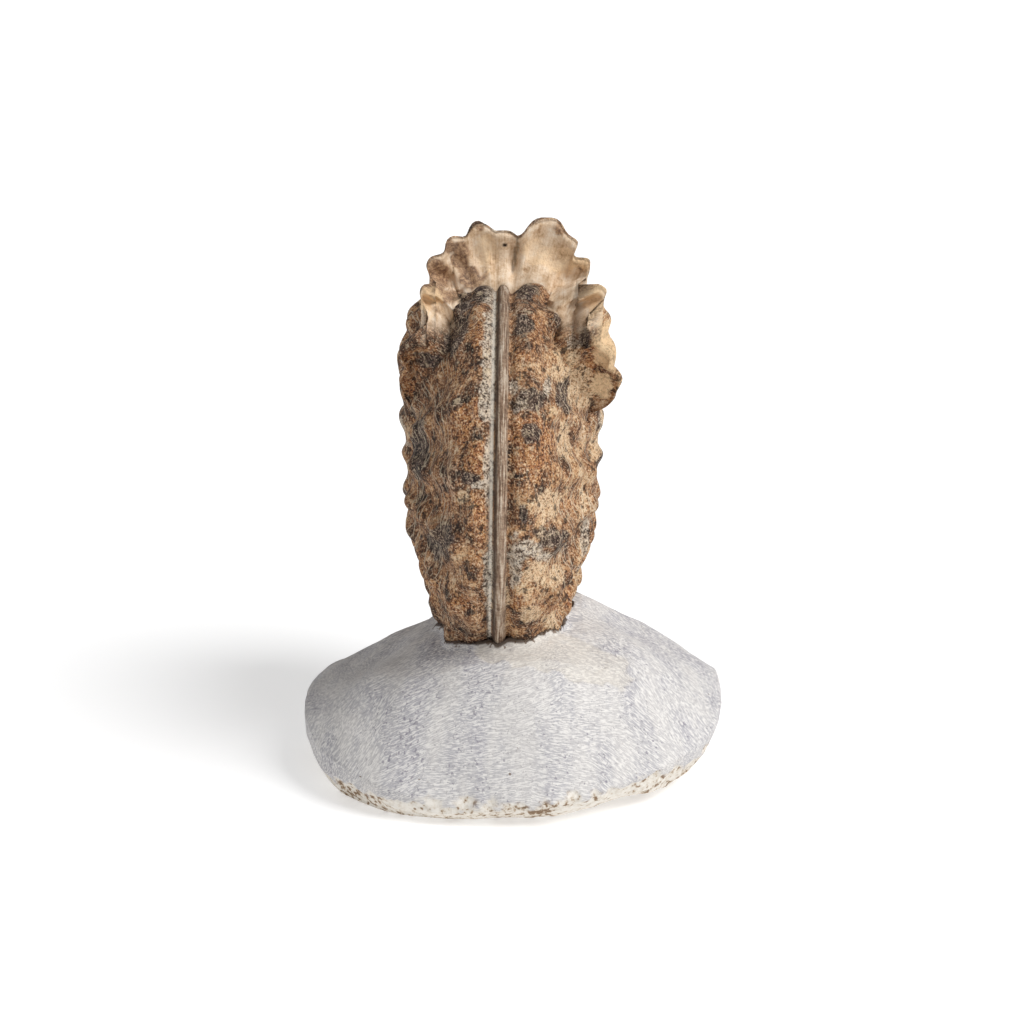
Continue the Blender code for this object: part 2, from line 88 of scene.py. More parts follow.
# Rows of tubercles: place across the whorl, number per turn, degrees back of the first, height, and
# radius along and across the row, the last three as parts of the whorl's radius
LEFT_TUBERCLES = (
    (0.115, 1, 0.0, 0.026, 0.140, 0.056),
    (0.130, 20, 6.1, 0.034, 0.070, 0.048),
    (0.245, 16, 0.0, 0.034, 0.080, 0.046),
    (0.365, 1, 0.0, 0.044, 0.140, 0.050),
    (0.430, 16, 0.0, 0.028, 0.084, 0.056),
    (0.430, 1, 0.0, -0.028, 0.084, 0.056),
    (0.520, 1, -45.0, 0.022, 0.120, 0.050),
    (0.600, 16, 0.0, 0.030, 0.088, 0.066),
    (0.650, 1, 197.0, -0.036, 0.320, 0.140),
    (0.740, 1, 178.0, -0.050, 0.640, 0.150),
    (0.740, 16, 0.0, 0.024, 0.088, 0.060),
)
RIGHT_TUBERCLES = (
    (0.124, 1, 0.0, 0.020, 0.150, 0.029),
    (0.070, 1, 0.0, -0.016, 0.080, 0.026),
    (0.192, 1, 0.0, 0.067, 0.150, 0.046),
    (0.318, 1, 0.0, -0.026, 0.100, 0.026),
    (0.140, 21, 4.4, 0.036, 0.072, 0.050),
    (0.262, 1, 0.0, 0.034, 0.150, 0.036),
    (0.378, 1, 0.0, 0.038, 0.150, 0.050),
    (0.315, 16, 0.0, 0.038, 0.080, 0.052),
    (0.435, 16, 0.0, 0.050, 0.090, 0.056),
    (0.435, 1, 0.0, -0.044, 0.090, 0.056),
    (0.470, 1, -22.5, 0.018, 0.120, 0.050),
    (0.565, 16, 0.0, 0.046, 0.090, 0.066),
    (0.650, 1, 197.0, -0.036, 0.320, 0.130),
    (0.740, 1, 178.0, -0.046, 0.600, 0.150),
    (0.760, 1, 258.0, 0.044, 0.180, 0.120),
    (0.715, 16, 0.0, 0.032, 0.090, 0.066),
)
TUBERCLE_REACH = 0.85         # distance from the axis at which a tubercle's length along the row is measured
END_BOOST = 0.40              # extra tubercle height at the broken end
END_BOOST_SPAN = 26.0         # degrees over which it fades
WEAR = 0.28                   # share of its height by which the relief is worn down or fresher
WEAR_SIZE = 15.0 * MM         # size of those patches
LUMPS = ((9.0 * MM, 0.42 * MM, 11), (2.6 * MM, 0.16 * MM, 21))   # size, height and seed of the stone's lumps
LEFT_END_NARROWING = (0.075, 0.11)   # share of its width that the -X side is crushed in at the broken
RIGHT_END_NARROWING = (-0.01, 0.05)  # end: over the whole flank, and more of it on the shoulder
NARROWING_SPAN = 55.0         # degrees over which that fades
SHOULDER = (0.58, 0.14)       # across the whorl, where that crushing begins and how far on it is complete

# Broken end: the flanks run on past the venter in two steps, whose edges slant down towards the keel
STEP_WIDTH = 0.030            # width across the whorl of a step's face
SPREAD_WIDTH = 0.280          # width over which the mesh rows between two breaks take up the same angle
SPREAD_TURN = 0.12            # share of a turn in which the rows go from one width to the other
RIM_STEPS = (0.430, 0.515)    # across the whorl, the middles of the steps at the rim
BASE_STEPS = (0.265, 0.365)   # and at the foot of the chamber wall
STEP_SLANTS = (0.0, 0.02, 0.04)   # shift of the edges towards the keel, ahead by no step, one and two
SLANT_FADE = (0.56, 0.16)     # across the whorl, where that shift begins to fade and how far on it ends
DISH_FADE = (0.60, 0.18)      # the same for the wall's hollow
WALL_ROWS = 40
CREASE_DEPTH = 1.8 * MM       # crease of the wall beside the keel
LIP_HEIGHT = 0.5 * MM         # raised band just inside the rim
WALL_LENGTH = 14.0 * MM       # from the rim to the foot of the wall, for the finish
FOLD_SPACING = 0.120          # between the wall's radial folds
FIRST_FOLD = 0.125
FOLD_CONVERGENCE = 0.8        # how much closer together the folds are at the foot of the wall

# Heights of the block's top along its front, rear and sides, in millimetres, by share of the way out
FRONT_SHARES = (0.0, 0.30, 0.50, 0.70, 0.78, 0.92, 1.0)
FRONT_HEIGHTS = (39.0, 39.0, 38.0, 34.2, 30.0, 17.0, 6.0)
REAR_SHARES = (0.0, 0.30, 0.50, 0.75, 1.0)
REAR_HEIGHTS = (39.0, 34.5, 26.5, 15.5, 8.0)
SIDE_SHARES = (0.0, 0.33, 0.65, 0.85, 1.0)
SIDE_HEIGHTS = (39.0, 37.0, 28.5, 22.0, 16.5)
# Side of the block from its top edge to its underside: millimetres in from the outline, share of the edge's
# height, and share of the gap under the foot
EDGE_PROFILE = ((0.0, 1.0, 0.0), (0.3, 0.62, 1.0), (2.2, 0.30, 1.0), (4.6, 0.04, 1.0), (7.5, 0.0, 0.0))
BLOCK_OUTLINE_POWER = 2.5
TOP_RINGS = 140               # rings of points on the top, before those on the side
SEAT_RINGS = 130              # rings, from the middle out, that the seat can reach
LEDGE_RINGS = 110             # and that the ledges can reach
LEDGE_PLACE = (9.0 * MM, -31.0 * MM)   # shallow steps left in front of the shell
LEDGE_SIZES = ((18.0 * MM, 7.5 * MM), (13.0 * MM, 4.5 * MM))
LEDGE_DEPTH = 0.45 * MM
FILLET = 1.5 * MM             # rise of the rock against the front foot of the shell
FILLET_REACH = 5.0 * MM       # gap under the shell at which that rise begins
SEAT_FLOOR = 12.0 * MM        # least height of the seat
SWELL_SIZE = 26.0 * MM        # slow swells of the whole surface
SWELL_HEIGHT = 0.9 * MM
LUMP_SIZE = 7.0 * MM          # finer lumps on them
LUMP_HEIGHT = 0.16 * MM
RIM_RAGGED = 2.2 * MM         # how far the upper limit of the unworked rim strays
RIM_DEPTH = 0.5 * MM          # how far the rim stands back

# Camera: it looks along +Y and down, at the frame's middle pixel
ELEVATION = 15.0              # degrees
LENS = 85.0                   # millimetres
SENSOR = 36.0                 # millimetres
FRAME = 1024                  # pixels
PIXEL = 0.23 * MM             # size of a pixel at the object
AIM = (-0.23 * MM, SHIFT_Y, 58.0 * MM)
CAMERA_DISTANCE = FRAME * PIXEL * LENS / SENSOR
KEY_SIDE = (0.60, -0.38, 0.70)   # towards the soft light
FLOOR_SIZE = 16.0

# Stains on the front of the shell: centre and half sizes in pixels of the frame
RUST_SPOTS = (
    (478, 333, 10, 15), (475, 412, 17, 12), (456, 430, 11, 14), (478, 458, 11, 19), (448, 503, 10, 10),
    (478, 523, 9, 27), (430, 588, 9, 13), (462, 604, 14, 9), (413, 361, 8, 9), (408, 386, 8, 14),
    (536, 332, 9, 15), (522, 357, 7, 6), (532, 446, 22, 34), (566, 506, 9, 9), (519, 604, 10, 10),
    (572, 596, 9, 11), (592, 366, 8, 26), (594, 390, 10, 10), (545, 612, 14, 9), (455, 375, 10, 10),
)
# Dark charcoal stains; those at (484, 291), (463, 302) and (528, 291), just under the foot of the last
# chamber wall, and the one at (430, 361), in the hollow of the -X third tier, are painted shade
CHAR_AND_SHADE_SPOTS = (
    (484, 291, 10, 11), (463, 302, 10, 15), (461, 327, 8, 15), (487, 400, 7, 7), (430, 361, 13, 8),
    (528, 291, 11, 9), (523, 326, 8, 10), (529, 401, 19, 11), (565, 394, 9, 17), (530, 435, 9, 11),
    (546, 503, 4, 4), (523, 516, 6, 8), (584, 336, 6, 12), (472, 480, 10, 8), (440, 540, 14, 16),
    (492, 560, 6, 12), (552, 540, 14, 12), (452, 345, 8, 10), (560, 318, 8, 12), (420, 450, 8, 30),
)
CHALK_SPOTS = (
    (490, 352, 7, 60), (486, 400, 6, 22), (575, 343, 7, 6), (548, 386, 4, 8), (448, 324, 10, 5),
    (514, 388, 4, 9), (490, 575, 6, 34), (515, 560, 7, 22), (530, 548, 10, 8), (488, 470, 5, 30),
    (480, 486, 12, 4), (585, 540, 4, 22), (540, 555, 9, 7),
)
CREAM_SPOTS = (
    (582, 385, 13, 18), (548, 504, 14, 15), (608, 345, 8, 22), (603, 382, 9, 10), (532, 614, 13, 9),
    (552, 622, 8, 8), (591, 322, 9, 8), (430, 300, 12, 8), (594, 300, 11, 14), (536, 572, 11, 11),
    (576, 357, 7, 7), (560, 372, 10, 8), (500, 600, 10, 12), (564, 440, 7, 18), (556, 575, 8, 10),
    (462, 497, 5, 7),
)
# On the last chamber wall: brown patches, painted light that lightens the parts lying in shade, the pore, and
# painted shade along the thin crease beside it
FAN_SPOTS = (
    (438, 277, 14, 19), (461, 258, 9, 17), (472, 277, 13, 11), (452, 296, 12, 6), (560, 229, 7, 7),
    (581, 262, 7, 9), (449, 246, 6, 8), (480, 228, 4, 4),
)
# Painted light: warm pale patches that lighten parts of the broken end which lie in shade
WARM_PAINTED_LIGHT_SPOTS = (
    (594, 298, 14, 19), (606, 348, 12, 32), (601, 384, 11, 13), (430, 300, 10, 14), (560, 262, 22, 18),
    (535, 250, 12, 18), (486, 252, 12, 16),
)
PORE = ((505, 245, 2.4, 2.0),)
# painted shade along the crease between two folds of the wall, drawn into the same field as the pore
CREASE_SHADE_SPOTS = ((517.5, 243, 1.3, 8), (515, 256, 1.4, 9), (512.5, 267, 1.3, 7))
TIER_ROW = 430.0              # row of the frame above which the seen side reaches further back
WALL_FOOT_ROW = 316.0         # row below which the chamber wall is stained like the flanks
FINISH_RADIUS = 45.0 * MM     # turns degrees and places across the whorl into lengths for the finish
# Pale hairs: slope along the whorl, spacing, and the least value of the noise at which one is there
HAIR_SETS = ((0.03, 1.7 * MM, 0.51), (-0.12, 2.6 * MM, 0.50), (0.30, 3.6 * MM, 0.50))
HAIR_WANDER = 4.0 * MM


def linear(hex_colour):
    """sRGB hex such as "#A07040" as linear red, green, blue and alpha."""
    values = [int(hex_colour[i:i + 2], 16) / 255.0 for i in (1, 3, 5)]
    return (*(v / 12.92 if v <= 0.04045 else ((v + 0.055) / 1.055) ** 2.4 for v in values), 1.0)


def set_inputs(tree, node, inputs):
    """Gives each socket of a node its value, or links it to the output that feeds it."""
    for key, value in inputs.items():
        if isinstance(value, bpy.types.NodeSocket):
            tree.links.new(value, node.inputs[key])
        else:
            node.inputs[key].default_value = value


def add_node(tree, kind, inputs=None, output=0, stops=(), **settings):
    """Adds one shader node with its settings and inputs, and returns one of its outputs.

    kind is the node's type without its first word, and stops gives a colour ramp its places and hex colours.
    """
    node = tree.nodes.new("ShaderNode" + kind)
    for name, value in settings.items():
        setattr(node, name, value)
    set_inputs(tree, node, inputs or {})
    if stops:
        ramp = node.color_ramp.elements
        ramp.remove(ramp[-1])
        ramp[0].position = stops[0][0]
        ramp[0].color = linear(stops[0][1])
        for position, colour in stops[1:]:
            ramp.new(position).color = linear(colour)
    return node.outputs[output]


def smooth_step(x):
    """3x^2 - 2x^3 between 0 and 1, held flat outside."""
    x = np.clip(x, 0.0, 1.0)
    return x * x * (3.0 - 2.0 * x)


def curve_through(points, place):
    """Catmull-Rom curve through points, read at place, 0 to 1 of its length."""
    points = np.asarray(points, float)
    padded = np.vstack((2.0 * points[0] - points[1], points, 2.0 * points[-1] - points[-2]))
    p0, p1, p2, p3 = (padded[i:i + len(points) - 1, None, :] for i in range(4))
    t = np.linspace(0.0, 1.0, 24, endpoint=False)[None, :, None]
    curve = 0.5 * (2.0 * p1 + (p2 - p0) * t + (2.0 * p0 - 5.0 * p1 + 4.0 * p2 - p3) * t ** 2
                   + (3.0 * p1 - p0 - 3.0 * p2 + p3) * t ** 3)
    curve = np.vstack((curve.reshape(-1, points.shape[1]), points[-1:]))
    length = np.concatenate(([0.0], np.cumsum(np.linalg.norm(np.diff(curve, axis=0), axis=1))))
    return np.stack([np.interp(place, length / length[-1], column) for column in curve.T], axis=-1)


def uneven(points, size, seed):
    """Smooth random field from -1 to 1: random values on a cubic lattice of the given size, blended."""
    cell = points / size + 31.7 * seed
    corner = np.floor(cell).astype(np.int64)
    blend = smooth_step(cell - corner)
    total = np.zeros(points.shape[:-1])
    for offset in np.ndindex(2, 2, 2):
        x, y, z = (corner[..., i] + offset[i] for i in range(3))
        mixed = (x * 73856093 ^ y * 19349663 ^ z * 83492791 ^ seed * 2654435761) & 0xFFFFFFFF
        mixed = ((mixed ^ (mixed >> 15)) * 2246822519) & 0xFFFFFFFF
        value = ((mixed ^ (mixed >> 13)) & 0xFFFF) / 32767.5 - 1.0
        weight = np.prod(np.where(np.array(offset) == 1, blend, 1.0 - blend), axis=-1)
        total += weight * value
    return total


def rough(points, size, seed, octaves):
    """Sum of uneven fields, each half the size and half the height of the one before."""
    return sum(uneven(points, size / 2 ** i, seed + i) * 0.5 ** i for i in range(octaves))


def end_lead(column, share, step_angle, width=STEP_WIDTH):
    """Where the break lies: the flanks run on past the venter in two smooth steps, moved by the share."""
    lead = 0.0
    for at_rim, at_base in zip(RIM_STEPS, BASE_STEPS):
        middle = at_rim + (at_base - at_rim) * np.clip(share, 0.0, 1.0)
        lead = lead - step_angle * smooth_step((np.abs(column) - middle) / width + 0.5)
    return lead


def slanted(column, back, step_angle):
    """Place across the whorl of a mesh column: columns near a step follow its slanting edge."""
    side = np.abs(column)
    shift = np.interp(-back / step_angle, np.arange(len(STEP_SLANTS)), STEP_SLANTS)
    return (side - shift * (1.0 - smooth_step((side - SLANT_FADE[0]) / SLANT_FADE[1]))) * np.sign(column)


def tubercle_row(back, across, row, lead):
    """Rounded peaks exp(-d^2.5), spaced evenly round the coil and taller near the broken end."""
    place, count, phase, height, along_size, across_size = row
    spacing = 360.0 / count
    offset = (back - phase + 0.5 * spacing) % spacing - 0.5 * spacing
    along = np.radians(offset) * TUBERCLE_REACH / along_size
    sideways = (np.abs(across) - place) / across_size
    boost = 1.0 + END_BOOST * np.exp(-((back - lead) / END_BOOST_SPAN) ** 2)
    return height * boost * np.exp(-(along ** 2 + sideways ** 2) ** 1.25)


def keel_relief(across):
    """Half-round rod between two bell-shaped grooves, as a part of the whorl's radius."""
    side = np.abs(across) / KEEL_HALF_WIDTH
    rod = KEEL_HEIGHT * np.sqrt(np.clip(1.0 - side ** 2, 0.0, 1.0))
    return rod - GROOVE_DEPTH * np.exp(-((side - 1.35) / 0.6) ** 2)


def shell_relief(back, across, lead):
    """Ribs and tubercles above the plain section, as a part of the whorl's radius."""
    side = np.abs(across)
    crest = (0.5 + 0.5 * np.cos(np.radians(back * RIBS_PER_TURN))) ** 1.4
    band = smooth_step((side - 0.16) / 0.14) * smooth_step((0.93 - side) / 0.12)
    left = sum(tubercle_row(back, across, row, lead) for row in LEFT_TUBERCLES)
    right = sum(tubercle_row(back, across, row, lead) for row in RIGHT_TUBERCLES)
    return RIB_HEIGHT * band * (crest - 0.35) + np.where(across < 0.0, left, right)


def frame_place(points):
    """Pixel of the frame on which the camera sees each point: the pinhole formula for the camera's place."""
    elevation = math.radians(ELEVATION)
    x, y, z = (points[..., i] - AIM[i] for i in range(3))
    depth = CAMERA_DISTANCE + y * math.cos(elevation) - z * math.sin(elevation)
    scale = FRAME * LENS / SENSOR / depth
    across = 0.5 * FRAME + scale * x
    down = 0.5 * FRAME - scale * (y * math.sin(elevation) + z * math.cos(elevation))
    return across, down


def spots(across, down, places, ragged):
    """Strongest of the soft elliptical spots at each point, with a ragged edge."""
    total = np.zeros(across.shape)
    for x, y, half_width, half_height in places:
        apart = np.hypot((across - x) / half_width, (down - y) / half_height)
        total = np.maximum(total, smooth_step((1.35 - apart + 0.45 * ragged) / 0.7))
    return total


def triangles_of(a, b, c, d, points):
    """Two triangles for each quad a b c d, split on its shorter diagonal; those with a repeated corner go."""
    a, b, c, d = (np.ravel(x) for x in (a, b, c, d))
    short = np.linalg.norm(points[a] - points[c], axis=1) <= np.linalg.norm(points[b] - points[d], axis=1)
    first = np.where(short[:, None], np.stack((a, b, c), 1), np.stack((a, b, d), 1))
    second = np.where(short[:, None], np.stack((a, c, d), 1), np.stack((b, c, d), 1))
    faces = np.vstack((first, second))
    whole = (faces[:, 0] != faces[:, 1]) & (faces[:, 1] != faces[:, 2]) & (faces[:, 0] != faces[:, 2])
    return faces[whole]


def mesh_piece(name, points, faces, fields, material):
    """Smooth mesh object from point and triangle arrays; fields are float attributes, one value a point."""
    corners = points[faces]
    volume = np.einsum("ij,ij->i", corners[:, 0], np.cross(corners[:, 1], corners[:, 2])).sum()
    if volume < 0.0:
        faces = faces[:, ::-1]
    mesh = bpy.data.meshes.new(name)
    mesh.vertices.add(len(points))
    mesh.vertices.foreach_set("co", points.astype(np.float32).ravel())
    mesh.loops.add(faces.size)
    mesh.loops.foreach_set("vertex_index", faces.astype(np.int32).ravel())
    mesh.polygons.add(len(faces))
    mesh.polygons.foreach_set("loop_start", np.arange(0, faces.size, 3, dtype=np.int32))
    mesh.update(calc_edges=True)
    mesh.validate()
    mesh.shade_smooth()
    for field, values in fields.items():
        attribute = mesh.attributes.new(field, "FLOAT", "POINT")
        attribute.data.foreach_set("value", values.astype(np.float32))
    mesh.materials.append(material)
    piece = bpy.data.objects.new(name, mesh)
    bpy.context.scene.collection.objects.link(piece)
    return piece


class AmmoniteSettings(bpy.types.PropertyGroup):
    end_radius: FloatProperty(
        name="End radius", description="Axis to keel at the broken end",
        default=52.15 * MM, min=5.0 * MM, unit="LENGTH")
    turn_growth: FloatProperty(
        name="Growth", description="How much larger the shell is after each turn", default=1.341, min=1.1)
    end_angle: FloatProperty(
        name="End angle", default=99.5,
        description="Where the venter breaks off, in degrees up from the front")
    lean: FloatProperty(
        name="Lean", description="Degrees that the coil leans towards +X at its top", default=0.8)
    step_angle: FloatProperty(
        name="Flank step", description="Degrees that each step of the flanks runs on", default=22.5)
    dish_depth: FloatProperty(
        name="Dish", description="Hollow of the last chamber wall", default=2.2 * MM, unit="LENGTH")
    fold_depth: FloatProperty(
        name="Folds", description="Depth of the chamber wall's radial folds",
        default=0.45 * MM, unit="LENGTH")
    rows_per_turn: IntProperty(
        name="Rows", description="Rows of points in each turn", default=350, min=60)
    columns_per_flank: IntProperty(
        name="Columns", description="Points from the keel to the seam", default=96, min=20)
    hair_width: FloatProperty(
        name="Hairs", description="Width of the pale calcite hairs", default=0.11 * MM, unit="LENGTH")
    hairs: FloatVectorProperty(
        name="Hair colour", description="Calcite that fills the fine cracks",
        default=linear("#E6D3B8"), **COLOUR)
    dark_flecks: FloatVectorProperty(
        name="Dark flecks", description="Grains of iron oxide",
        default=linear("#22170F"), **COLOUR)
    pale_flecks: FloatVectorProperty(
        name="Pale flecks", description="Grains of calcite",
        default=linear("#EFD9BA"), **COLOUR)
    pits: FloatVectorProperty(
        name="Pits", description="Dark hollows between the crystals",
        default=linear("#2A1D16"), **COLOUR)
    crystals: FloatVectorProperty(
        name="Crystals", description="Pale crystals that stand proud",
        default=linear("#EBD3B0"), **COLOUR)
    # painted light: warm pale tint that lightens parts of the broken end which lie in shade
    warm_light_tint: FloatVectorProperty(
        name="Warm painted light", description="Warm tint of the clean calcite at the broken end",
        default=linear("#F3D2A6"), **COLOUR)


class BlockSettings(bpy.types.PropertyGroup):
    half_width: FloatProperty(
        name="Half width", description="Middle of the block to its side", default=48.7 * MM, unit="LENGTH")
    front: FloatProperty(
        name="Front", description="Middle of the block to its front", default=50.0 * MM, unit="LENGTH")
    back: FloatProperty(
        name="Back", description="Middle of the block to its back", default=54.0 * MM, unit="LENGTH")
    left_lowering: FloatProperty(
        name="Left lowering", description="How much lower the -X slope is half way out",
        default=3.8 * MM, unit="LENGTH")
    left_end_lowering: FloatProperty(
        name="Left end lowering", description="How much lower still it is at its edge",
        default=3.0 * MM, unit="LENGTH")
    foot_lift: FloatProperty(
        name="Foot lift", description="Gap under the +X front edge", default=3.6 * MM, unit="LENGTH")
    rim_height: FloatProperty(
        name="Rim", description="Height of the unworked edge above the underside",
        default=5.8 * MM, unit="LENGTH")
    seam_gap: FloatProperty(
        name="Seam", description="Gap between the shell and its seat", default=0.3 * MM, unit="LENGTH")
    sectors: IntProperty(name="Sectors", description="Points round the block", default=420, min=60)
    scratches: FloatVectorProperty(
        name="Scratches", description="Limestone bruised by the air pen",
        default=linear("#EAE7E3"), **COLOUR)
    specks: FloatVectorProperty(
        name="Specks", description="Grey grains between the scratches",
        default=linear("#8B878A"), **COLOUR)
    pits: FloatVectorProperty(
        name="Pits", description="Small holes in the limestone",
        default=linear("#7A7682"), **COLOUR)
    ledges: FloatVectorProperty(
        name="Ledges", description="Creamier limestone of the ledges before the shell",
        default=linear("#DDD4C2"), **COLOUR)
    crumbs: FloatVectorProperty(
        name="Crumbs", description="Bits of shell left in the rock near it",
        default=linear("#6B5440"), **COLOUR)
    # dark seam where the rock meets the shell, together with painted shade where the shell hangs close over
    # the rock
    seam_dirt_and_shade: FloatVectorProperty(
        name="Contact", description="Brown line where the rock meets the shell",
        default=linear("#4A3829"), **COLOUR)


class StageSettings(bpy.types.PropertyGroup):
    key: FloatProperty(
        name="Key", description="Strength of the soft light from the right front", default=2.6)
    softness: FloatProperty(name="Softness", description="Degrees that the key light spans", default=34.0)
    ambient: FloatProperty(name="Ambient", description="Strength of the white surroundings", default=0.37)
    glow: FloatProperty(name="Glow", description="Strength of the floor's own light", default=0.44)
    card: FloatVectorProperty(
        name="Card", description="Colour of the floor",
        default=linear("#DFDFDF"), **COLOUR)


def coil_points(settings, distance, sideways, back):
    """x, y and z from distance and place along the axis and degrees back from the broken end."""
    angle = np.radians(settings.end_angle + back)
    lean = math.radians(settings.lean)
    z = distance * np.sin(angle)
    return np.stack((COIL_CENTRE[0] + sideways * math.cos(lean) + z * math.sin(lean),
                     COIL_CENTRE[1] - distance * np.cos(angle),
                     COIL_CENTRE[2] - sideways * math.sin(lean) + z * math.cos(lean)), axis=-1)


def shell_surface(settings, back, column):
    """Distance and place along the axis of the shell's surface, and the place across it.

    The section curve is scaled by end_radius * growth^(-back/360), then moved along its own normal by the
    ribs, tubercles, keel and the uneven wear of the stone.
    """
    lead = end_lead(column, 0.0, settings.step_angle)
    across = slanted(column, back, settings.step_angle)
    side = np.abs(across)
    here = curve_through(SECTION, side)
    ahead = curve_through(SECTION, np.minimum(side + 0.01, 1.0))
    tangent = ahead - curve_through(SECTION, np.maximum(side - 0.01, 0.0))
    tangent /= np.linalg.norm(tangent, axis=-1, keepdims=True)
    radius = settings.end_radius * settings.turn_growth ** (-back / 360.0)
    plain = coil_points(settings, radius * here[..., 0], radius * here[..., 1] * np.sign(across), back)
    wear = 1.0 + WEAR * uneven(plain, WEAR_SIZE, 3)
    body = smooth_step((side - 0.05) / 0.06)
    relief = radius * shell_relief(back, across, lead) * wear
    lumps = sum(height * rough(plain, size, seed, 2) for size, height, seed in LUMPS)
    worn = KEEL_AT_END + (1.0 - KEEL_AT_END) * smooth_step((back - lead) / KEEL_FADE)
    height = relief + radius * keel_relief(across) * worn + lumps * (0.25 + 0.75 * body)
    on_shoulder = smooth_step((side - SHOULDER[0]) / SHOULDER[1])
    left, right = (flank + shoulder * on_shoulder
                   for flank, shoulder in (LEFT_END_NARROWING, RIGHT_END_NARROWING))
    fading = np.exp(-(np.maximum(back - lead, 0.0) / NARROWING_SPAN) ** 2)
    crushed = 1.0 - np.where(across < 0.0, left, right) * fading
    distance = radius * here[..., 0] + height * tangent[..., 1]
    sideways = (radius * here[..., 1] - height * tangent[..., 0]) * crushed * np.sign(across)
    return distance, sideways, across


def flank_columns(count):
    """Places across one flank, closer together at the keel and the steps, with one on the landing line."""
    fine = np.linspace(0.0, 1.0, 500)
    stepped = smooth_step((fine - BASE_STEPS[0]) / 0.05) * smooth_step((RIM_STEPS[-1] + 0.08 - fine) / 0.05)
    density = 1.0 + 2.0 * np.exp(-(fine / 0.06) ** 2) + 1.0 * stepped
    total = np.concatenate(([0.0], np.cumsum(0.5 * (density[1:] + density[:-1]))))
    columns = np.interp(np.linspace(0.0, total[-1], count + 1), total, fine)
    landing = int(np.argmin(np.abs(columns - LANDING)))
    columns[landing] = LANDING
    return columns, landing


def chamber_wall(settings, columns, rim, base, foot):
    """Last chamber wall: straight lines from the rim to the inner whorl, hollowed like a dish, pleated
    towards the rim by a cosine across the whorl, and creased once beside the keel."""
    share = np.linspace(0.0, 1.0, WALL_ROWS + 1)[:, None]
    keel_share = (1.0 - share) * KEEL_AT_END + share / settings.turn_growth
    keel = settings.end_radius * keel_share * keel_relief(columns)[None, :]
    distance = (1.0 - share) * rim[0] + share * base[0][foot]
    distance = distance - keel * smooth_step(4.0 * share) * smooth_step(4.0 * (1.0 - share))
    sideways = (1.0 - share) * rim[1] + share * base[1][foot]
    side = np.abs(columns)[None, :]
    dish = settings.dish_depth * np.sin(math.pi * share) ** 2
    dish = dish * (1.0 - smooth_step((side - DISH_FADE[0]) / DISH_FADE[1]))
    phase = (side * (1.0 + FOLD_CONVERGENCE * share) - FIRST_FOLD) / FOLD_SPACING
    fold = settings.fold_depth * np.sin(math.pi * share) * np.cos(2.0 * math.pi * phase)
    fold = fold * smooth_step(side / 0.08) * (1.0 - smooth_step((side - RIM_STEPS[0]) / 0.08))
    crease = CREASE_DEPTH * np.exp(-((columns - 0.05) / 0.03) ** 2)
    crease = crease * np.sin(math.pi * np.clip(share + 0.12, 0.0, 1.0))
    lip = LIP_HEIGHT * np.exp(-((share - 0.10) / 0.07) ** 2)
    lead = end_lead(columns[None, :], share, settings.step_angle)
    back = lead + np.degrees((dish - fold + crease - lip) / distance)
    return coil_points(settings, distance, sideways, back), share, lead


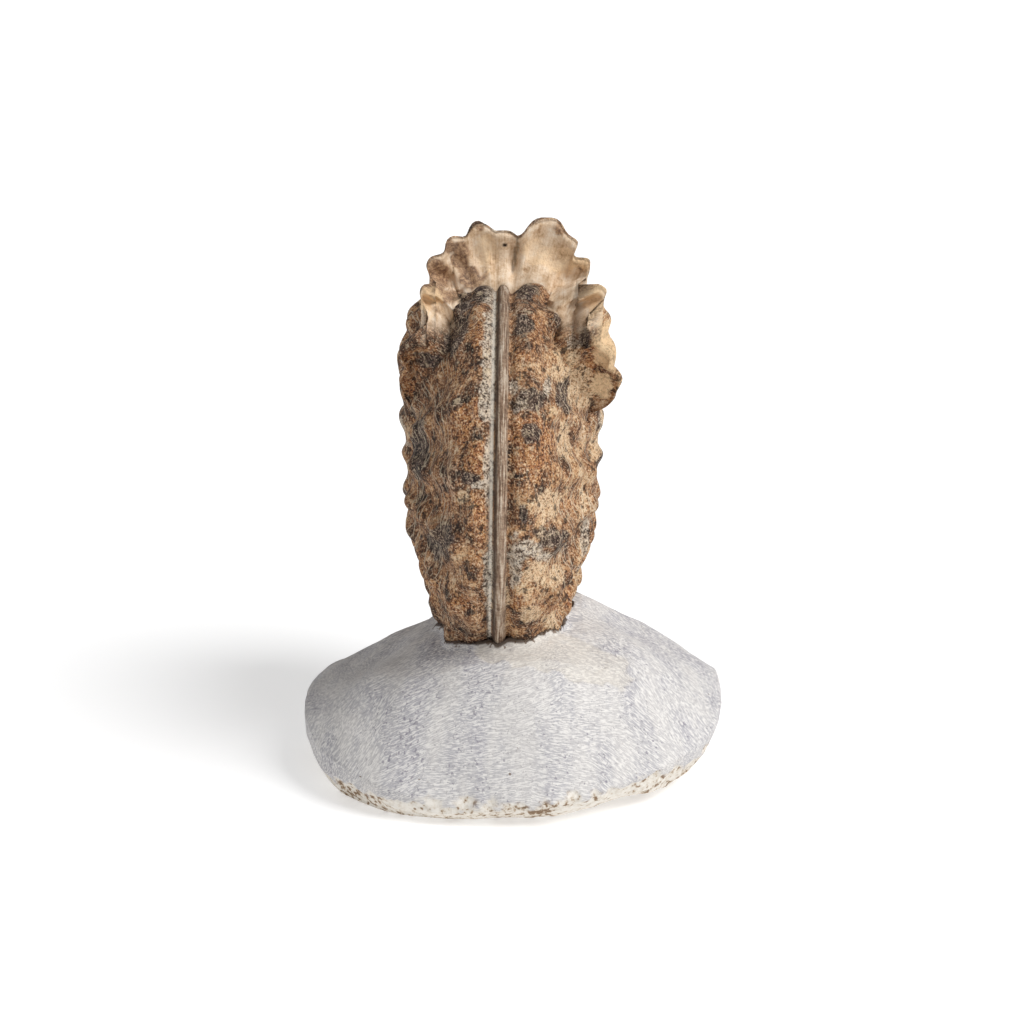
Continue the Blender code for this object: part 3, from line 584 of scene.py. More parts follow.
def coil_arrays(settings):
    """Points, triangles and the fields the stone's finish reads, for the whole shell."""
    turn = settings.rows_per_turn
    rows = TURNS * turn
    half, landing = flank_columns(settings.columns_per_flank)
    columns = np.concatenate((-half[:0:-1], half))
    width = len(columns)
    left_land, right_land = len(half) - 1 - landing, len(half) - 1 + landing
    turns_back = np.arange(rows + 1)[:, None] / turn
    spread = smooth_step(turns_back / SPREAD_TURN) * smooth_step(np.abs(turns_back - 1.0) / SPREAD_TURN)
    step_width = STEP_WIDTH + (SPREAD_WIDTH - STEP_WIDTH) * spread
    back = 360.0 * turns_back + end_lead(columns[None, :], turns_back, settings.step_angle, step_width)
    distance, sideways, across = shell_surface(settings, back, np.broadcast_to(columns, back.shape))
    grid = coil_points(settings, distance, sideways, back)

    used = np.zeros(back.shape, bool)
    used[:turn + 1] = True
    used[:, :left_land + 1] = True
    used[:, right_land:] = True
    used[:rows - turn + 1, 0] = False
    used[:rows - turn + 1, -1] = False
    index = np.full(back.shape, -1)
    index[used] = np.arange(used.sum())
    index[:rows - turn + 1, 0] = index[turn:, left_land]
    index[:rows - turn + 1, -1] = index[turn:, right_land]

    column = np.clip(np.arange(width), left_land, right_land)
    wall, share, lead = chamber_wall(settings, columns, (distance[0], sideways[0]),
                                     (distance[turn], sideways[turn]), column)
    inner = slice(1, -1)
    wall_shape = wall[inner, inner].shape[:2]
    wall_index = np.empty(wall.shape[:2], int)
    wall_index[0] = index[0]
    wall_index[-1] = index[turn, column]
    wall_index[:, 0] = index[0, 0]
    wall_index[:, -1] = index[0, -1]
    wall_index[inner, inner] = used.sum() + np.arange(wall_shape[0] * wall_shape[1]).reshape(wall_shape)

    points = np.vstack((grid[used], wall[inner, inner].reshape(-1, 3)))
    wall_across = np.broadcast_to(columns, wall.shape[:2])[inner, inner].ravel()
    wall_share = np.broadcast_to(share, wall.shape[:2])[inner, inner].ravel()
    tier = -lead[inner, inner].ravel() / settings.step_angle
    round_coil = np.radians(back[used] % 360.0) * FINISH_RADIUS
    outer = np.zeros(used.sum())
    fields = {
        "across": np.concatenate((across[used], wall_across)),
        "chamber": np.concatenate((outer, smooth_step(wall_share / 0.06))),
        "along": np.concatenate((round_coil, wall_share * WALL_LENGTH)),
        "far_tier": np.concatenate((outer, smooth_step(tier - 1.2))),
    }

    a, b = index[:-1, :-1], index[:-1, 1:]
    c, d = index[1:, 1:], index[1:, :-1]
    there = np.ones(a.shape, bool)
    there[turn:, left_land:right_land] = False
    faces = [triangles_of(a[there], b[there], c[there], d[there], points)]
    above, below = wall_index[:-1], wall_index[1:]
    faces.append(triangles_of(above[:, 1:], above[:, :-1], below[:, :-1], below[:, 1:], points))
    left_run, right_run = np.arange(1, left_land), np.arange(width - 2, right_land, -1)
    for edge, run, turn_round in ((0, left_run, 1), (-1, right_run, -1)):
        loop = np.concatenate((index[rows - turn:, edge], index[rows, run]))
        centre = len(points)
        points = np.vstack((points, points[loop].mean(axis=0)))
        fields = {name: np.append(values, values[loop].mean()) for name, values in fields.items()}
        ring = np.stack((np.full(len(loop), centre), loop, np.roll(loop, -1)), axis=1)
        faces.append(ring[:, ::turn_round])
    return points, np.vstack(faces), fields


def stone_fields(fields, points):
    """Turns the shell's coordinates into the stains, and the painted light and shade, that its finish reads,
    each from 0 to 1.

    The stains on the side that the camera sees follow the lists of spots. Elsewhere they are where a rough
    random field lies above a least value, with the same colours and about the same sizes.
    """
    across = fields["across"]
    side = np.abs(across)
    shell = 1.0 - fields["chamber"]
    x, y = frame_place(points)
    rear_edge = np.where(y < TIER_ROW, 14.0 * MM, -6.0 * MM)
    seen = smooth_step((rear_edge - points[:, 1]) / (8.0 * MM))
    ragged = rough(points, 2.0 * MM, 91, 3)
    aged = np.maximum(fields["far_tier"], smooth_step((y - WALL_FOOT_ROW) / 22.0))
    stained = np.where(fields["chamber"] > 0.5, aged, 1.0)
    stains = {}
    for name, places, size, seed, least in (
            ("rust", RUST_SPOTS, 11.0 * MM, 41, 0.05), ("char_and_shade", CHAR_AND_SHADE_SPOTS, 9.0 * MM, 51, 0.2),
            ("chalk", CHALK_SPOTS, 8.0 * MM, 61, 0.3), ("cream", CREAM_SPOTS, 8.0 * MM, 66, 0.3)):
        scattered = smooth_step((rough(points, size, seed, 3) - least) / 0.5)
        amount = spots(x, y, places, ragged) * seen + (1.0 - 0.75 * seen) * scattered
        stains[name] = np.clip(amount, 0.0, 1.0) * stained
    rod = across / KEEL_HALF_WIDTH
    # painted shade: the dark line in the wall's crease
    crease = 0.55 * spots(x, y, CREASE_SHADE_SPOTS, 0.5 * ragged)
    return {
        **stains,
        "chamber": fields["chamber"] * (1.0 - aged),
        "brown_fan": spots(x, y, FAN_SPOTS, ragged),
        "pore_and_crease_shade": np.maximum(spots(x, y, PORE, 0.0), crease),
        # painted light on shaded parts of the broken end
        "warm_painted_light": spots(x, y, WARM_PAINTED_LIGHT_SPOTS, ragged) * seen,
        "keel": smooth_step((1.05 - np.abs(rod)) / 0.25) * shell,
        # painted shade: the keel rod's -X side, turned away from the key light, is darkened
        "keel_shade": smooth_step((-rod - 0.35) / 0.4) * smooth_step((1.12 + rod) / 0.1) * shell,
        # painted highlight: a pale line on the groove's outer wall beside the keel rod's -X side, where the
        # key light catches it
        "keel_painted_highlight": smooth_step((rod + 1.75) / 0.2) * smooth_step((-1.15 - rod) / 0.12) * shell * seen,
        "flank": smooth_step((side - 0.22) / 0.2) * shell,
        "along": fields["along"],
        "over": across * FINISH_RADIUS,
        # partly the +X flank's warmer tan, partly painted light: lighter towards the key light's side
        "tan_and_painted_light": smooth_step((points[:, 0] - COIL_CENTRE[0]) / (14.0 * MM)),
    }


def fossil_stone(settings):
    """Calcite and iron oxide that replaced the shell: rough, matt, mottled brown, rust and cream with
    pits under a millimetre, and pale calcite hairs across it. The eye sees grain, not gloss.

    Each tint lies over those before it by its own amount: a stain from stone_fields, broken up by noise.
    Some of them are painted light and shade: the lighter +X side, the keel rod's darkened -X side and
    the painted highlight beside it, shade in the wall's crease, under its foot and in a hollow of a tier,
    and the warm light on shaded parts of the broken end.
    """
    material = bpy.data.materials.new("iron_stained_calcite")
    material.use_nodes = True
    tree = material.node_tree
    node = partial(add_node, tree)
    place = node("TexCoord", output="Object")
    blotch = node("TexNoise", {"Vector": place, "Scale": 210.0, "Detail": 8.0, "Roughness": 0.72})
    grain = node("TexNoise", {"Vector": place, "Scale": 1150.0, "Detail": 4.0, "Roughness": 0.75})
    fleck = node("TexNoise", {"Vector": place, "Scale": 2300.0, "Detail": 2.0, "Roughness": 0.6})
    pocket = node("TexNoise", {"Vector": place, "Scale": 470.0, "Detail": 3.0, "Roughness": 0.6})
    field = {name: node("Attribute", output="Fac", attribute_name=name) for name in (
        "rust", "char_and_shade", "chalk", "cream", "chamber", "brown_fan", "pore_and_crease_shade", "warm_painted_light", "keel", "keel_shade",
        "keel_painted_highlight", "flank", "along", "over", "tan_and_painted_light")}

    level = -0.175
    # the +X side is lifted a little: painted light from the key's side over that flank's warmer tan
    for part, weight in ((blotch, 1.35), (field["tan_and_painted_light"], 0.07), (grain, 0.45)):
        level = node("Math", {0: part, 1: weight, 2: level}, operation="MULTIPLY_ADD")
    colour = node("ValToRGB", {"Fac": level}, stops=(
        (0.54, "#2B1D15"), (0.65, "#5E402D"), (0.74, "#8D6243"), (0.83, "#B98A60"), (0.95, "#DEBD95")))
    speckled = node("Math", {0: blotch, 1: grain}, operation="ADD")
    layers = []
    for name, most, stops in (
            ("rust", 0.84, ((0.36, "#5E3B26"), (0.46, "#965F3D"), (0.56, "#C08955"), (0.66, "#DDB589"))),
            ("char_and_shade", 0.90, ((0.38, "#1C1616"), (0.50, "#3E322F"), (0.62, "#7C6A60"))),
            ("chalk", 0.85, ((0.36, "#4F4338"), (0.46, "#A3907C"), (0.56, "#DCCFBE"))),
            ("cream", 0.85, ((0.36, "#A87F58"), (0.46, "#D6B088"), (0.60, "#EACFAB")))):
        amount = node("Math", {0: speckled, 1: 1.25, 2: field[name]}, operation="MULTIPLY_ADD")
        amount = node("MapRange", {"Value": amount, "From Min": 1.48, "From Max": 1.98, "To Max": most})
        layers.append((amount, node("ValToRGB", {"Fac": grain}, stops=stops)))
    for source, begins, full, most, tint in (
            (fleck, 0.46, 0.37, 0.66, settings.dark_flecks), (fleck, 0.56, 0.65, 0.50, settings.pale_flecks),
            (pocket, 0.43, 0.37, 0.78, settings.pits), (pocket, 0.60, 0.68, 0.45, settings.crystals)):
        amount = node("MapRange", {"Value": source, "From Min": begins, "From Max": full, "To Max": most})
        layers.append((amount, tint))

    along, over = field["along"], field["over"]
    drawn_out = node("CombineXYZ", {"X": along, "Y": over})
    wander = node("TexNoise", {"Vector": drawn_out, "Scale": 26.0, "Detail": 1.5})
    hair = 0.0
    for slope, pitch, least in HAIR_SETS:
        line = node("Math", {0: along, 1: slope, 2: over}, operation="MULTIPLY_ADD")
        line = node("Math", {0: wander, 1: HAIR_WANDER, 2: line}, operation="MULTIPLY_ADD")
        line = node("Math", {0: line, 1: pitch}, operation="DIVIDE")
        number = node("Math", {0: line}, operation="FLOOR")
        drift = node("TexWhiteNoise", {"W": number}, output="Value", noise_dimensions="1D")
        within = node("Math", {0: line}, operation="FRACT")
        within = node("Math", {0: drift, 1: -0.6, 2: within}, operation="MULTIPLY_ADD")
        within = node("Math", {0: within, 1: -0.2}, operation="ADD")
        near = node("Math", {0: within}, operation="ABSOLUTE")
        reach = node("Math", {0: number, 1: 3.7 * MM, 2: along}, operation="MULTIPLY_ADD")
        gaps = node("TexNoise", {"W": reach, "Scale": 75.0, "Detail": 1.0}, noise_dimensions="1D")
        there = node("MapRange", {"Value": gaps, "From Min": least, "From Max": least + 0.05})
        width = settings.hair_width / pitch
        drawn = node("MapRange", {"Value": near, "From Min": 1.6 * width, "From Max": 0.6 * width})
        drawn = node("Math", {0: drawn, 1: there}, operation="MULTIPLY")
        hair = node("Math", {0: hair, 1: drawn}, operation="MAXIMUM")
    most = node("MapRange", {"Value": field["flank"], "From Min": -0.4, "From Max": 1.0, "To Max": 0.55})
    hair = node("Math", {0: hair, 1: most}, operation="MULTIPLY")
    layers.append((hair, settings.hairs))

    streak = node("Mapping", {"Vector": drawn_out, "Scale": (0.05, 1.0, 1.0)})
    streak = node("TexNoise", {"Vector": streak, "Scale": 2600.0, "Detail": 3.0})
    keel = node("Math", {0: grain, 1: 0.4, 2: streak}, operation="MULTIPLY_ADD")
    keel = node("ValToRGB", {"Fac": keel}, stops=((0.56, "#6E5746"), (0.70, "#A08771"), (0.84, "#D2C1AD")))
    # painted shade on the keel rod's -X side: mixed into its tone here and laid over again below
    shade = node("Math", {0: field["keel_shade"], 1: 0.75}, operation="MULTIPLY")
    keel = node("Mix", {0: shade, 6: keel, 7: linear("#4B392D")}, output=2, data_type="RGBA")
    # painted highlight beside the keel rod, broken up by the speckle
    broken = node("MapRange", {"Value": speckled, "From Min": 0.78, "From Max": 1.02, "To Max": 0.95})
    for part, most, tint in (
            (field["keel"], 0.92, keel), (field["keel_shade"], 0.45, linear("#3A2B22")),
            (field["keel_painted_highlight"], broken, linear("#FFF6E6"))):
        layers.append((node("Math", {0: part, 1: most}, operation="MULTIPLY"), tint))

    level = 0.0
    for part, weight in ((blotch, 0.6), (streak, 0.16), (grain, 0.12)):
        level = node("Math", {0: part, 1: weight, 2: level}, operation="MULTIPLY_ADD")
    fan = node("ValToRGB", {"Fac": level}, stops=(
        (0.32, "#9C7A5A"), (0.39, "#CDAF8E"), (0.45, "#E4CCB0"), (0.53, "#F2E3D0")))
    brown = node("ValToRGB", {"Fac": grain}, stops=((0.36, "#5A4030"), (0.48, "#8C6A50"), (0.60, "#C29F7C")))
    browned = node("Math", {0: speckled, 1: 1.1, 2: field["brown_fan"]}, operation="MULTIPLY_ADD")
    browned = node("MapRange", {"Value": browned, "From Min": 1.30, "From Max": 1.85, "To Max": 0.88})
    # the pore's dark, and the painted shade of the crease
    for amount, tint in ((browned, brown), (field["pore_and_crease_shade"], linear("#2A1E17"))):
        fan = node("Mix", {0: amount, 6: fan, 7: tint}, output=2, data_type="RGBA")
    # painted light: a warm pale tint over the parts of the broken end that lie in shade
    warm_painted_light = node("Math", {0: speckled, 1: 1.1, 2: field["warm_painted_light"]}, operation="MULTIPLY_ADD")
    warm_painted_light = node("MapRange", {"Value": warm_painted_light, "From Min": 1.50, "From Max": 2.30, "To Max": 0.90})
    layers += ((field["chamber"], fan), (warm_painted_light, settings.warm_light_tint))
    for amount, tint in layers:
        colour = node("Mix", {0: amount, 6: colour, 7: tint}, output=2, data_type="RGBA")

    rise = fleck
    for part, height in ((grain, 0.6), (hair, 0.35), (pocket, 1.6)):
        rise = node("Math", {0: part, 1: height, 2: rise}, operation="MULTIPLY_ADD")
    calm = node("MapRange", {"Value": field["chamber"], "To Min": 1.0, "To Max": 0.25})
    rise = node("Math", {0: rise, 1: calm}, operation="MULTIPLY")
    normal = node("Bump", {"Height": rise, "Strength": 1.0, "Distance": 0.45 * MM})
    set_inputs(tree, tree.nodes["Principled BSDF"], {
        "Base Color": colour, "Normal": normal, "Roughness": 0.82, "IOR": 1.5, "Specular IOR Level": 0.35})
    return material


def block_outline(settings, angle):
    """Rounded box |x/a|^p + |y/b|^p = 1 read as distance by angle, with slow waves for the broken edge."""
    reach = np.where(np.sin(angle) < 0.0, settings.front, settings.back)
    power = BLOCK_OUTLINE_POWER
    plain = (np.abs(np.cos(angle) / settings.half_width) ** power
             + np.abs(np.sin(angle) / reach) ** power) ** (-1.0 / power)
    waves = 0.9 * np.sin(3.0 * angle + 0.8) + 0.7 * np.sin(5.0 * angle + 2.2) + 0.4 * np.sin(8.0 * angle)
    return plain + waves * MM * np.sin(angle) ** 2


def block_top(settings, angle, share):
    """Height at share of the way out: front, rear and side profiles mixed by squared sine and cosine."""
    front = np.clip(-np.sin(angle), 0.0, 1.0) ** 2
    rear = np.clip(np.sin(angle), 0.0, 1.0) ** 2
    side = np.cos(angle) ** 2
    heights = (np.interp(share, FRONT_SHARES, FRONT_HEIGHTS) * front
               + np.interp(share, REAR_SHARES, REAR_HEIGHTS) * rear
               + np.interp(share, SIDE_SHARES, SIDE_HEIGHTS) * side)
    lowered = settings.left_lowering * np.sin(math.pi * np.clip(share, 0.0, 1.0))
    lowered = (lowered + settings.left_end_lowering * share ** 2) * np.clip(-np.cos(angle), 0.0, 1.0)
    return heights * MM - lowered


def soft_lumps(x, y, z, size):
    """Sum of five crossed sine waves, between about -1 and 1."""
    k = 2.0 * math.pi / size
    field = np.sin(k * (0.83 * x + 0.41 * y - 0.37 * z) + 1.3)
    field = field + np.sin(k * (-0.46 * x + 0.71 * y + 0.59 * z) + 4.1)
    field = field + np.sin(k * (0.29 * x - 0.66 * y + 0.81 * z) + 2.6)
    field = field + 0.7 * np.sin(k * 1.9 * (0.57 * x + 0.33 * y + 0.62 * z) + 0.4)
    return (field + 0.7 * np.sin(k * 1.9 * (-0.71 * x + 0.52 * y - 0.31 * z) + 5.3)) / 3.2


def lower_envelope(shell_points, cell, half):
    """Lowest height of the shell over each cell of a square grid; a running minimum and then a running
    maximum over three cells fill the gaps between its points without widening it."""
    low = shell_points[:, 2] < COIL_CENTRE[2]
    spot = np.floor((shell_points[low, :2] + half) / cell).astype(int)
    size = int(2.0 * half / cell)
    floor = np.full((size, size), COIL_CENTRE[2])
    np.minimum.at(floor, (spot[:, 0], spot[:, 1]), shell_points[low, 2])
    for pick in (np.minimum, np.maximum):
        for axis in (0, 1):
            floor = pick(floor, pick(np.roll(floor, 1, axis), np.roll(floor, -1, axis)))
    return floor


def read_grid(grid, x, y, cell, half):
    """Value of the grid at x and y, blended in a straight line between the middles of its cells."""
    column, row = (x + half) / cell - 0.5, (y + half) / cell - 0.5
    i, j = np.floor(column).astype(int), np.floor(row).astype(int)
    u, v = column - i, row - j
    return ((grid[i, j] * (1.0 - u) + grid[i + 1, j] * u) * (1.0 - v)
            + (grid[i, j + 1] * (1.0 - u) + grid[i + 1, j + 1] * u) * v)


def block_arrays(settings, shell_points):
    """Points, triangles and fields of the block: rings out from the middle of its top, over and under."""
    count = settings.sectors
    angle = np.arange(count) * (2.0 * math.pi / count)
    outline = block_outline(settings, angle)
    lift = settings.foot_lift * np.clip(np.cos(angle + 0.6), 0.0, 1.0) ** 2
    edge = block_top(settings, angle, 1.0)
    top_share = np.concatenate((np.linspace(0.01, 0.62, 80), np.linspace(0.625, 1.0, 60)))[:, None]
    top_reach = outline * top_share
    top_height = block_top(settings, angle[None, :], top_share)
    steps = np.linspace(0.0, 1.0, 34)[1:]
    corners = np.linspace(0.0, 1.0, len(EDGE_PROFILE))
    inset, drop, lifted = (np.interp(steps, corners, column)[:, None] for column in zip(*EDGE_PROFILE))
    side_reach = outline - inset * MM - 2.5 * lift * smooth_step((steps[:, None] - 0.75) / 0.25)
    side_height = edge * drop + lift * lifted
    reach = np.vstack((top_reach, side_reach))
    height = np.vstack((top_height, side_height))
    x, y = reach * np.cos(angle), reach * np.sin(angle)
    raised = smooth_step(height / (1.2 * MM))
    height = height + SWELL_HEIGHT * soft_lumps(x, y, height, SWELL_SIZE) * smooth_step(height / MM)
    rows = len(reach)

    points = np.stack((x, y + SHIFT_Y, height), axis=-1)
    outward = np.stack((np.cos(angle), np.sin(angle), 0.0 * angle), axis=-1)
    ring = np.arange(rows)[:, None]
    wall = smooth_step((ring - TOP_RINGS + 20.0) / 20.0)[..., None]
    bump = LUMP_HEIGHT * (rough(points, LUMP_SIZE, 71, 3) - 1.7) * raised
    upward = np.array((0.0, 0.0, 1.0))
    points = points + (outward[None] * wall + upward * (1.0 - wall)) * bump[..., None]
    ragged = rough(points, 3.0 * MM, 81, 3)
    above = points[..., 2] - lift[None, :]
    rim = smooth_step((settings.rim_height + RIM_RAGGED * ragged - above) / MM)
    points = points - outward[None] * (rim * raised * RIM_DEPTH * np.clip(ragged + 0.5, 0.0, 1.2))[..., None]
    ledge = 0.0
    for reach_x, reach_y in LEDGE_SIZES:
        apart_x = (points[..., 0] - LEDGE_PLACE[0]) / reach_x
        apart = np.hypot(apart_x, (points[..., 1] - LEDGE_PLACE[1]) / reach_y)
        ledge = ledge + smooth_step((1.0 - apart + 0.12 * ragged) / 0.10) * (ring < LEDGE_RINGS)
    points[..., 2] -= LEDGE_DEPTH * ledge

    cell, half = 0.7 * MM, 80.0 * MM
    floor = lower_envelope(shell_points, cell, half)
    seat = read_grid(floor, points[..., 0], points[..., 1], cell, half) - settings.seam_gap
    gap = np.where(ring < SEAT_RINGS, seat - points[..., 2], COIL_CENTRE[2])
    in_front = smooth_step(-points[..., 1] / (12.0 * MM))
    points[..., 2] += FILLET * smooth_step((FILLET_REACH - gap) / (6.0 * MM)) * in_front
    gap = np.where(ring < SEAT_RINGS, seat - points[..., 2], COIL_CENTRE[2])
    buried = gap < -0.9 * MM
    points[..., 2] = np.where(buried, np.maximum(seat, SEAT_FLOOR), points[..., 2])
    # dark seam along the contact, and painted shade where the shell hangs close over the rock
    contact = smooth_step((1.9 * MM + 0.8 * MM * ragged - gap) / (1.5 * MM))
    nearby = smooth_step((6.0 * MM - gap) / (6.0 * MM))
    index = np.arange(rows * count).reshape(rows, count)
    following = np.roll(index, -1, axis=1)
    flat = points.reshape(-1, 3)
    faces = [triangles_of(index[:-1], index[1:], following[1:], following[:-1], flat)]
    top, bottom = len(flat), len(flat) + 1
    flat = np.vstack((flat, ((0.0, SHIFT_Y, points[0, :, 2].mean()),), ((0.0, SHIFT_Y, 0.0),)))
    faces.append(np.stack((np.full(count, top), index[0], following[0]), axis=1))
    faces.append(np.stack((np.full(count, bottom), following[-1], index[-1]), axis=1))
    fields = {
        "rim": np.append(rim.ravel(), (0.0, 1.0)),
        "contact": np.append(contact.ravel(), (0.0, 0.0)),
        "nearby": np.append(nearby.ravel(), (0.0, 0.0)),
        "ledge": np.append(smooth_step(ledge).ravel(), (0.0, 0.0)),
    }
    return flat, np.vstack(faces), fields


def scraped_limestone(settings):
    """Limestone scraped with an air pen: dead matt, white scratches 0.75 mm apart over neutral grey, with
    pits, and a creamier, unworked rim. The eye sees fine hatching that changes direction from patch to patch.

    The scratches are noise stretched along strokes, which lean outwards on both sides and a little at
    random in each patch. Each tint lies over those before it by its own amount.
    """
    material = bpy.data.materials.new("scraped_limestone")
    material.use_nodes = True
    tree = material.node_tree
    node = partial(add_node, tree)
    place = node("TexCoord", output="Object")
    field = {name: node("Attribute", output="Fac", attribute_name=name) for name in (
        "ledge", "rim", "nearby", "contact")}
    warp = node("TexNoise", {"Vector": place, "Scale": 130.0, "Detail": 2.0}, output="Color")
    warp = node("VectorMath", {0: warp, 1: (9.0 * MM,) * 3}, operation="MULTIPLY")
    warp = node("VectorMath", {0: warp, 1: place}, operation="ADD")
    tall = node("Mapping", {"Vector": warp, "Scale": (1.0, 1.0, 0.45)})
    patch = node("TexVoronoi", {"Vector": tall, "Scale": 78.0, "Randomness": 0.8}, output="Color")
    centre = node("SeparateXYZ", {"Vector": patch.node.outputs["Position"]})
    turn = node("Math", {0: node("SeparateColor", {"Color": patch}), 1: 0.40}, operation="MULTIPLY")
    for begins, full, most in ((8.0 * MM, 34.0 * MM, -1.0), (-14.0 * MM, -34.0 * MM, 0.8)):
        outwards = node("MapRange", {"Value": centre, "From Min": begins, "From Max": full, "To Max": most})
        turn = node("Math", {0: turn, 1: outwards}, operation="ADD")
    turned = node("VectorRotate", {"Vector": place, "Angle": turn}, rotation_type="Y_AXIS")
    strokes = node("Mapping", {"Vector": turned, "Scale": (0.13, 0.35, 1.0)})
    strokes = node("TexNoise", {"Vector": strokes, "Scale": 4700.0, "Detail": 2.0, "Roughness": 0.6})
    grain = node("TexNoise", {"Vector": place, "Scale": 1500.0, "Detail": 4.0, "Roughness": 0.7})
    bands = node("Mapping", {"Vector": place, "Scale": (1.0, 0.5, 0.12)})
    bands = node("TexNoise", {"Vector": bands, "Scale": 165.0, "Detail": 3.0})
    pits = node("TexNoise", {"Vector": place, "Scale": 1250.0, "Detail": 1.0})
    pits = node("Math", {0: bands, 1: 0.5, 2: pits}, operation="MULTIPLY_ADD")
    clusters = node("TexNoise", {"Vector": place, "Scale": 75.0, "Detail": 2.0})
    pocks = node("TexNoise", {"Vector": place, "Scale": 800.0, "Detail": 2.0, "Roughness": 0.6})
    pocks = node("Math", {0: clusters, 1: -0.55, 2: pocks}, operation="MULTIPLY_ADD")
    rim_tone = node("ValToRGB", {"Fac": pocks}, stops=(
        (0.07, "#86705B"), (0.11, "#B9A792"), (0.16, "#D8D0C4"), (0.34, "#E6E1D9")))
    crumbs = node("TexNoise", {"Vector": place, "Scale": 620.0, "Detail": 3.0, "Roughness": 0.6})
    crumbs = node("Math", {0: field["nearby"], 1: 0.17, 2: crumbs}, operation="MULTIPLY_ADD")
    colour = node("ValToRGB", {"Fac": bands}, stops=((0.38, "#AEACB1"), (0.48, "#B8B6B8"), (0.58, "#C5C2C1")))
    for source, begins, full, most, tint in (
            (strokes, 0.44, 0.60, 0.80, settings.scratches), (grain, 0.43, 0.34, 0.50, settings.specks),
            (pits, 0.57, 0.51, 0.62, settings.pits), (field["ledge"], 0.0, 1.0, 0.30, settings.ledges),
            (field["rim"], 0.0, 1.0, 1.0, rim_tone), (crumbs, 0.72, 0.76, 0.80, settings.crumbs),
            # the contact: dark seam and painted shade under the shell
            (field["contact"], 0.35, 0.85, 0.90, settings.seam_dirt_and_shade)):
        amount = node("MapRange", {"Value": source, "From Min": begins, "From Max": full, "To Max": most})
        colour = node("Mix", {0: amount, 6: colour, 7: tint}, output=2, data_type="RGBA")
    rise = node("Math", {0: strokes, 1: 0.8, 2: grain}, operation="MULTIPLY_ADD")
    normal = node("Bump", {"Height": rise, "Strength": 0.6, "Distance": 0.25 * MM})
    set_inputs(tree, tree.nodes["Principled BSDF"], {
        "Base Color": colour, "Normal": normal, "Roughness": 0.95, "Specular IOR Level": 0.2})
    return material


def white_card(settings):
    """Sheet of matt white card that glows a little, so that shadows on it stay pale."""
    material = bpy.data.materials.new("white_card")
    material.use_nodes = True
    tree = material.node_tree
    set_inputs(tree, tree.nodes["Principled BSDF"], {
        "Base Color": settings.card, "Roughness": 1.0, "Specular IOR Level": 0.0,
        "Emission Color": linear("#FFFFFF"), "Emission Strength": settings.glow})
    return material


class FOSSIL_OT_ammonite(bpy.types.Operator):
    """Make the ammonite's shell and its stained stone finish"""

    bl_idname = "fossil.ammonite"
    bl_label = "Ammonite"

    def execute(self, context):
        settings = context.scene.ammonite_settings
        points, faces, fields = coil_arrays(settings)
        fields = stone_fields(fields, points)
        piece = mesh_piece("ammonite_shell", points, faces, fields, fossil_stone(settings))
        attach(piece, "root")
        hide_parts("ammonite")
        return {"FINISHED"}


class FOSSIL_OT_block(bpy.types.Operator):
    """Make the limestone block with the seat that the shell sits in"""

    bl_idname = "fossil.block"
    bl_label = "Limestone Block"

    def execute(self, context):
        shell = bpy.data.objects.get("ammonite_shell")
        if shell is None:
            raise RuntimeError("make the ammonite first: the block's seat follows it")
        settings = context.scene.block_settings
        shell_points = np.empty(len(shell.data.vertices) * 3, np.float32)
        shell.data.vertices.foreach_get("co", shell_points)
        points, faces, fields = block_arrays(settings, shell_points.reshape(-1, 3).astype(float))
        piece = mesh_piece("limestone_block", points, faces, fields, scraped_limestone(settings))
        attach(piece, "root")
        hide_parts("matrix_base")
        return {"FINISHED"}


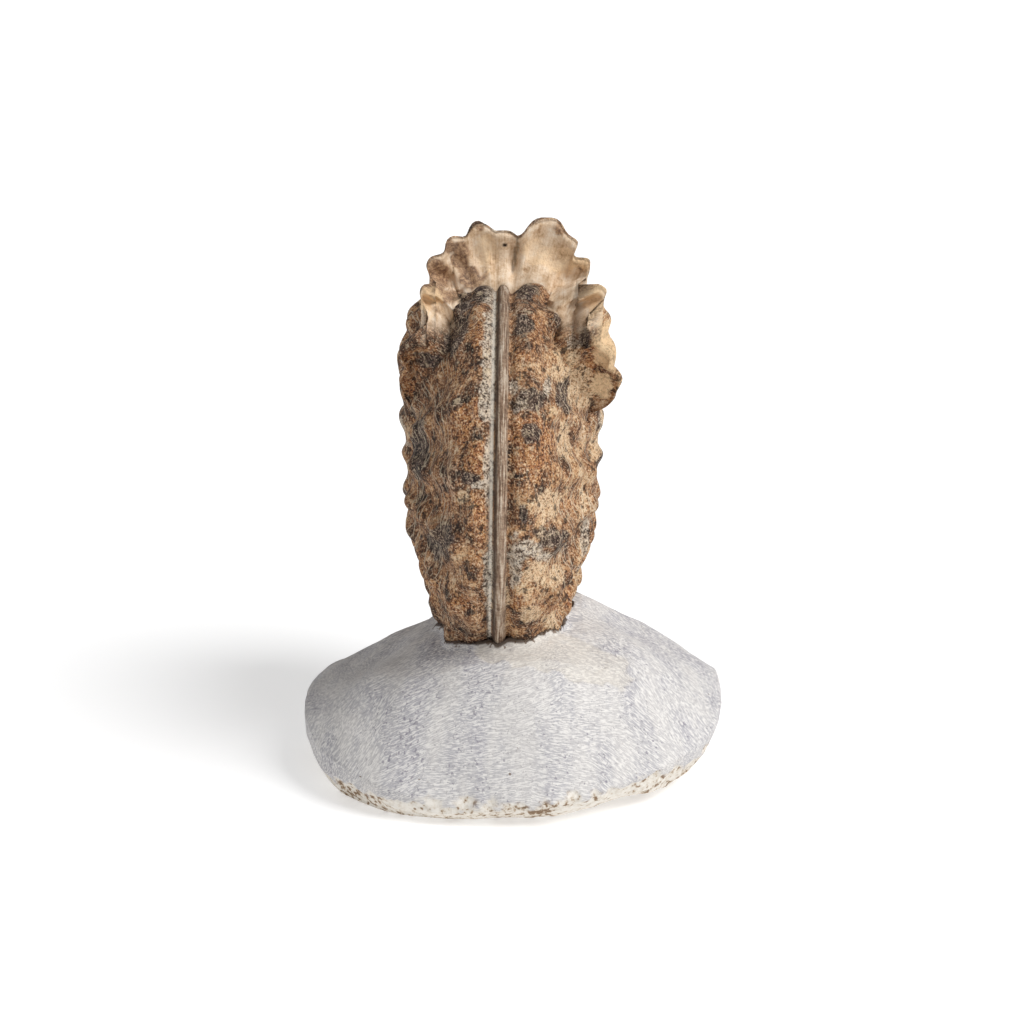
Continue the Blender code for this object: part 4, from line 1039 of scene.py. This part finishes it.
class FOSSIL_OT_stage(bpy.types.Operator):
    """Lay the floor and set the light and the camera"""

    bl_idname = "fossil.stage"
    bl_label = "Stage"

    def execute(self, context):
        settings = context.scene.stage_settings
        bpy.ops.mesh.primitive_plane_add(size=FLOOR_SIZE)
        floor = context.active_object
        floor.name = "floor"
        floor.data.materials.append(white_card(settings))

        world = bpy.data.worlds.new("studio")
        context.scene.world = world
        world.use_nodes = True
        world.node_tree.nodes["Background"].inputs["Color"].default_value = (1.0, 1.0, 1.0, 1.0)
        world.node_tree.nodes["Background"].inputs["Strength"].default_value = settings.ambient

        sun = bpy.data.lights.new("soft_key", "SUN")
        sun.energy = settings.key
        sun.angle = math.radians(settings.softness)
        key = bpy.data.objects.new("soft_key", sun)
        key.rotation_euler = Vector(KEY_SIDE).to_track_quat("Z", "Y").to_euler()
        context.scene.collection.objects.link(key)

        camera = bpy.data.cameras.new("camera")
        camera.lens = LENS
        camera.sensor_width = SENSOR
        camera.clip_start = 0.01
        camera_object = bpy.data.objects.new("camera", camera)
        elevation = math.radians(ELEVATION)
        back_off = Vector((0.0, -math.cos(elevation), math.sin(elevation)))
        camera_object.location = Vector(AIM) + back_off * CAMERA_DISTANCE
        camera_object.rotation_euler = back_off.to_track_quat("Z", "Y").to_euler()
        context.scene.collection.objects.link(camera_object)
        context.scene.camera = camera_object
        context.scene.view_settings.view_transform = "Standard"
        return {"FINISHED"}


class FOSSIL_PT_panel(bpy.types.Panel):
    """Lists the pieces of the fossil and their settings"""

    bl_label = "Ammonite on Matrix"
    bl_idname = "FOSSIL_PT_panel"
    bl_space_type = "VIEW_3D"
    bl_region_type = "UI"
    bl_category = "Ammonite"

    def draw(self, context):
        for settings, operator in (
                (context.scene.ammonite_settings, "fossil.ammonite"),
                (context.scene.block_settings, "fossil.block"),
                (context.scene.stage_settings, "fossil.stage")):
            box = self.layout.box()
            for name in settings.__annotations__:
                box.prop(settings, name)
            box.operator(operator)


CLASSES = (AmmoniteSettings, BlockSettings, StageSettings, FOSSIL_OT_ammonite, FOSSIL_OT_block,
           FOSSIL_OT_stage, FOSSIL_PT_panel)


def register():
    for cls in CLASSES:
        bpy.utils.register_class(cls)
    bpy.types.Scene.ammonite_settings = PointerProperty(type=AmmoniteSettings)
    bpy.types.Scene.block_settings = PointerProperty(type=BlockSettings)
    bpy.types.Scene.stage_settings = PointerProperty(type=StageSettings)


def unregister():
    del bpy.types.Scene.ammonite_settings
    del bpy.types.Scene.block_settings
    del bpy.types.Scene.stage_settings
    for cls in reversed(CLASSES):
        bpy.utils.unregister_class(cls)


def main():
    register()
    bpy.ops.fossil.ammonite()
    bpy.ops.fossil.block()
    bpy.ops.fossil.stage()


if __name__ == "__main__":
    main()
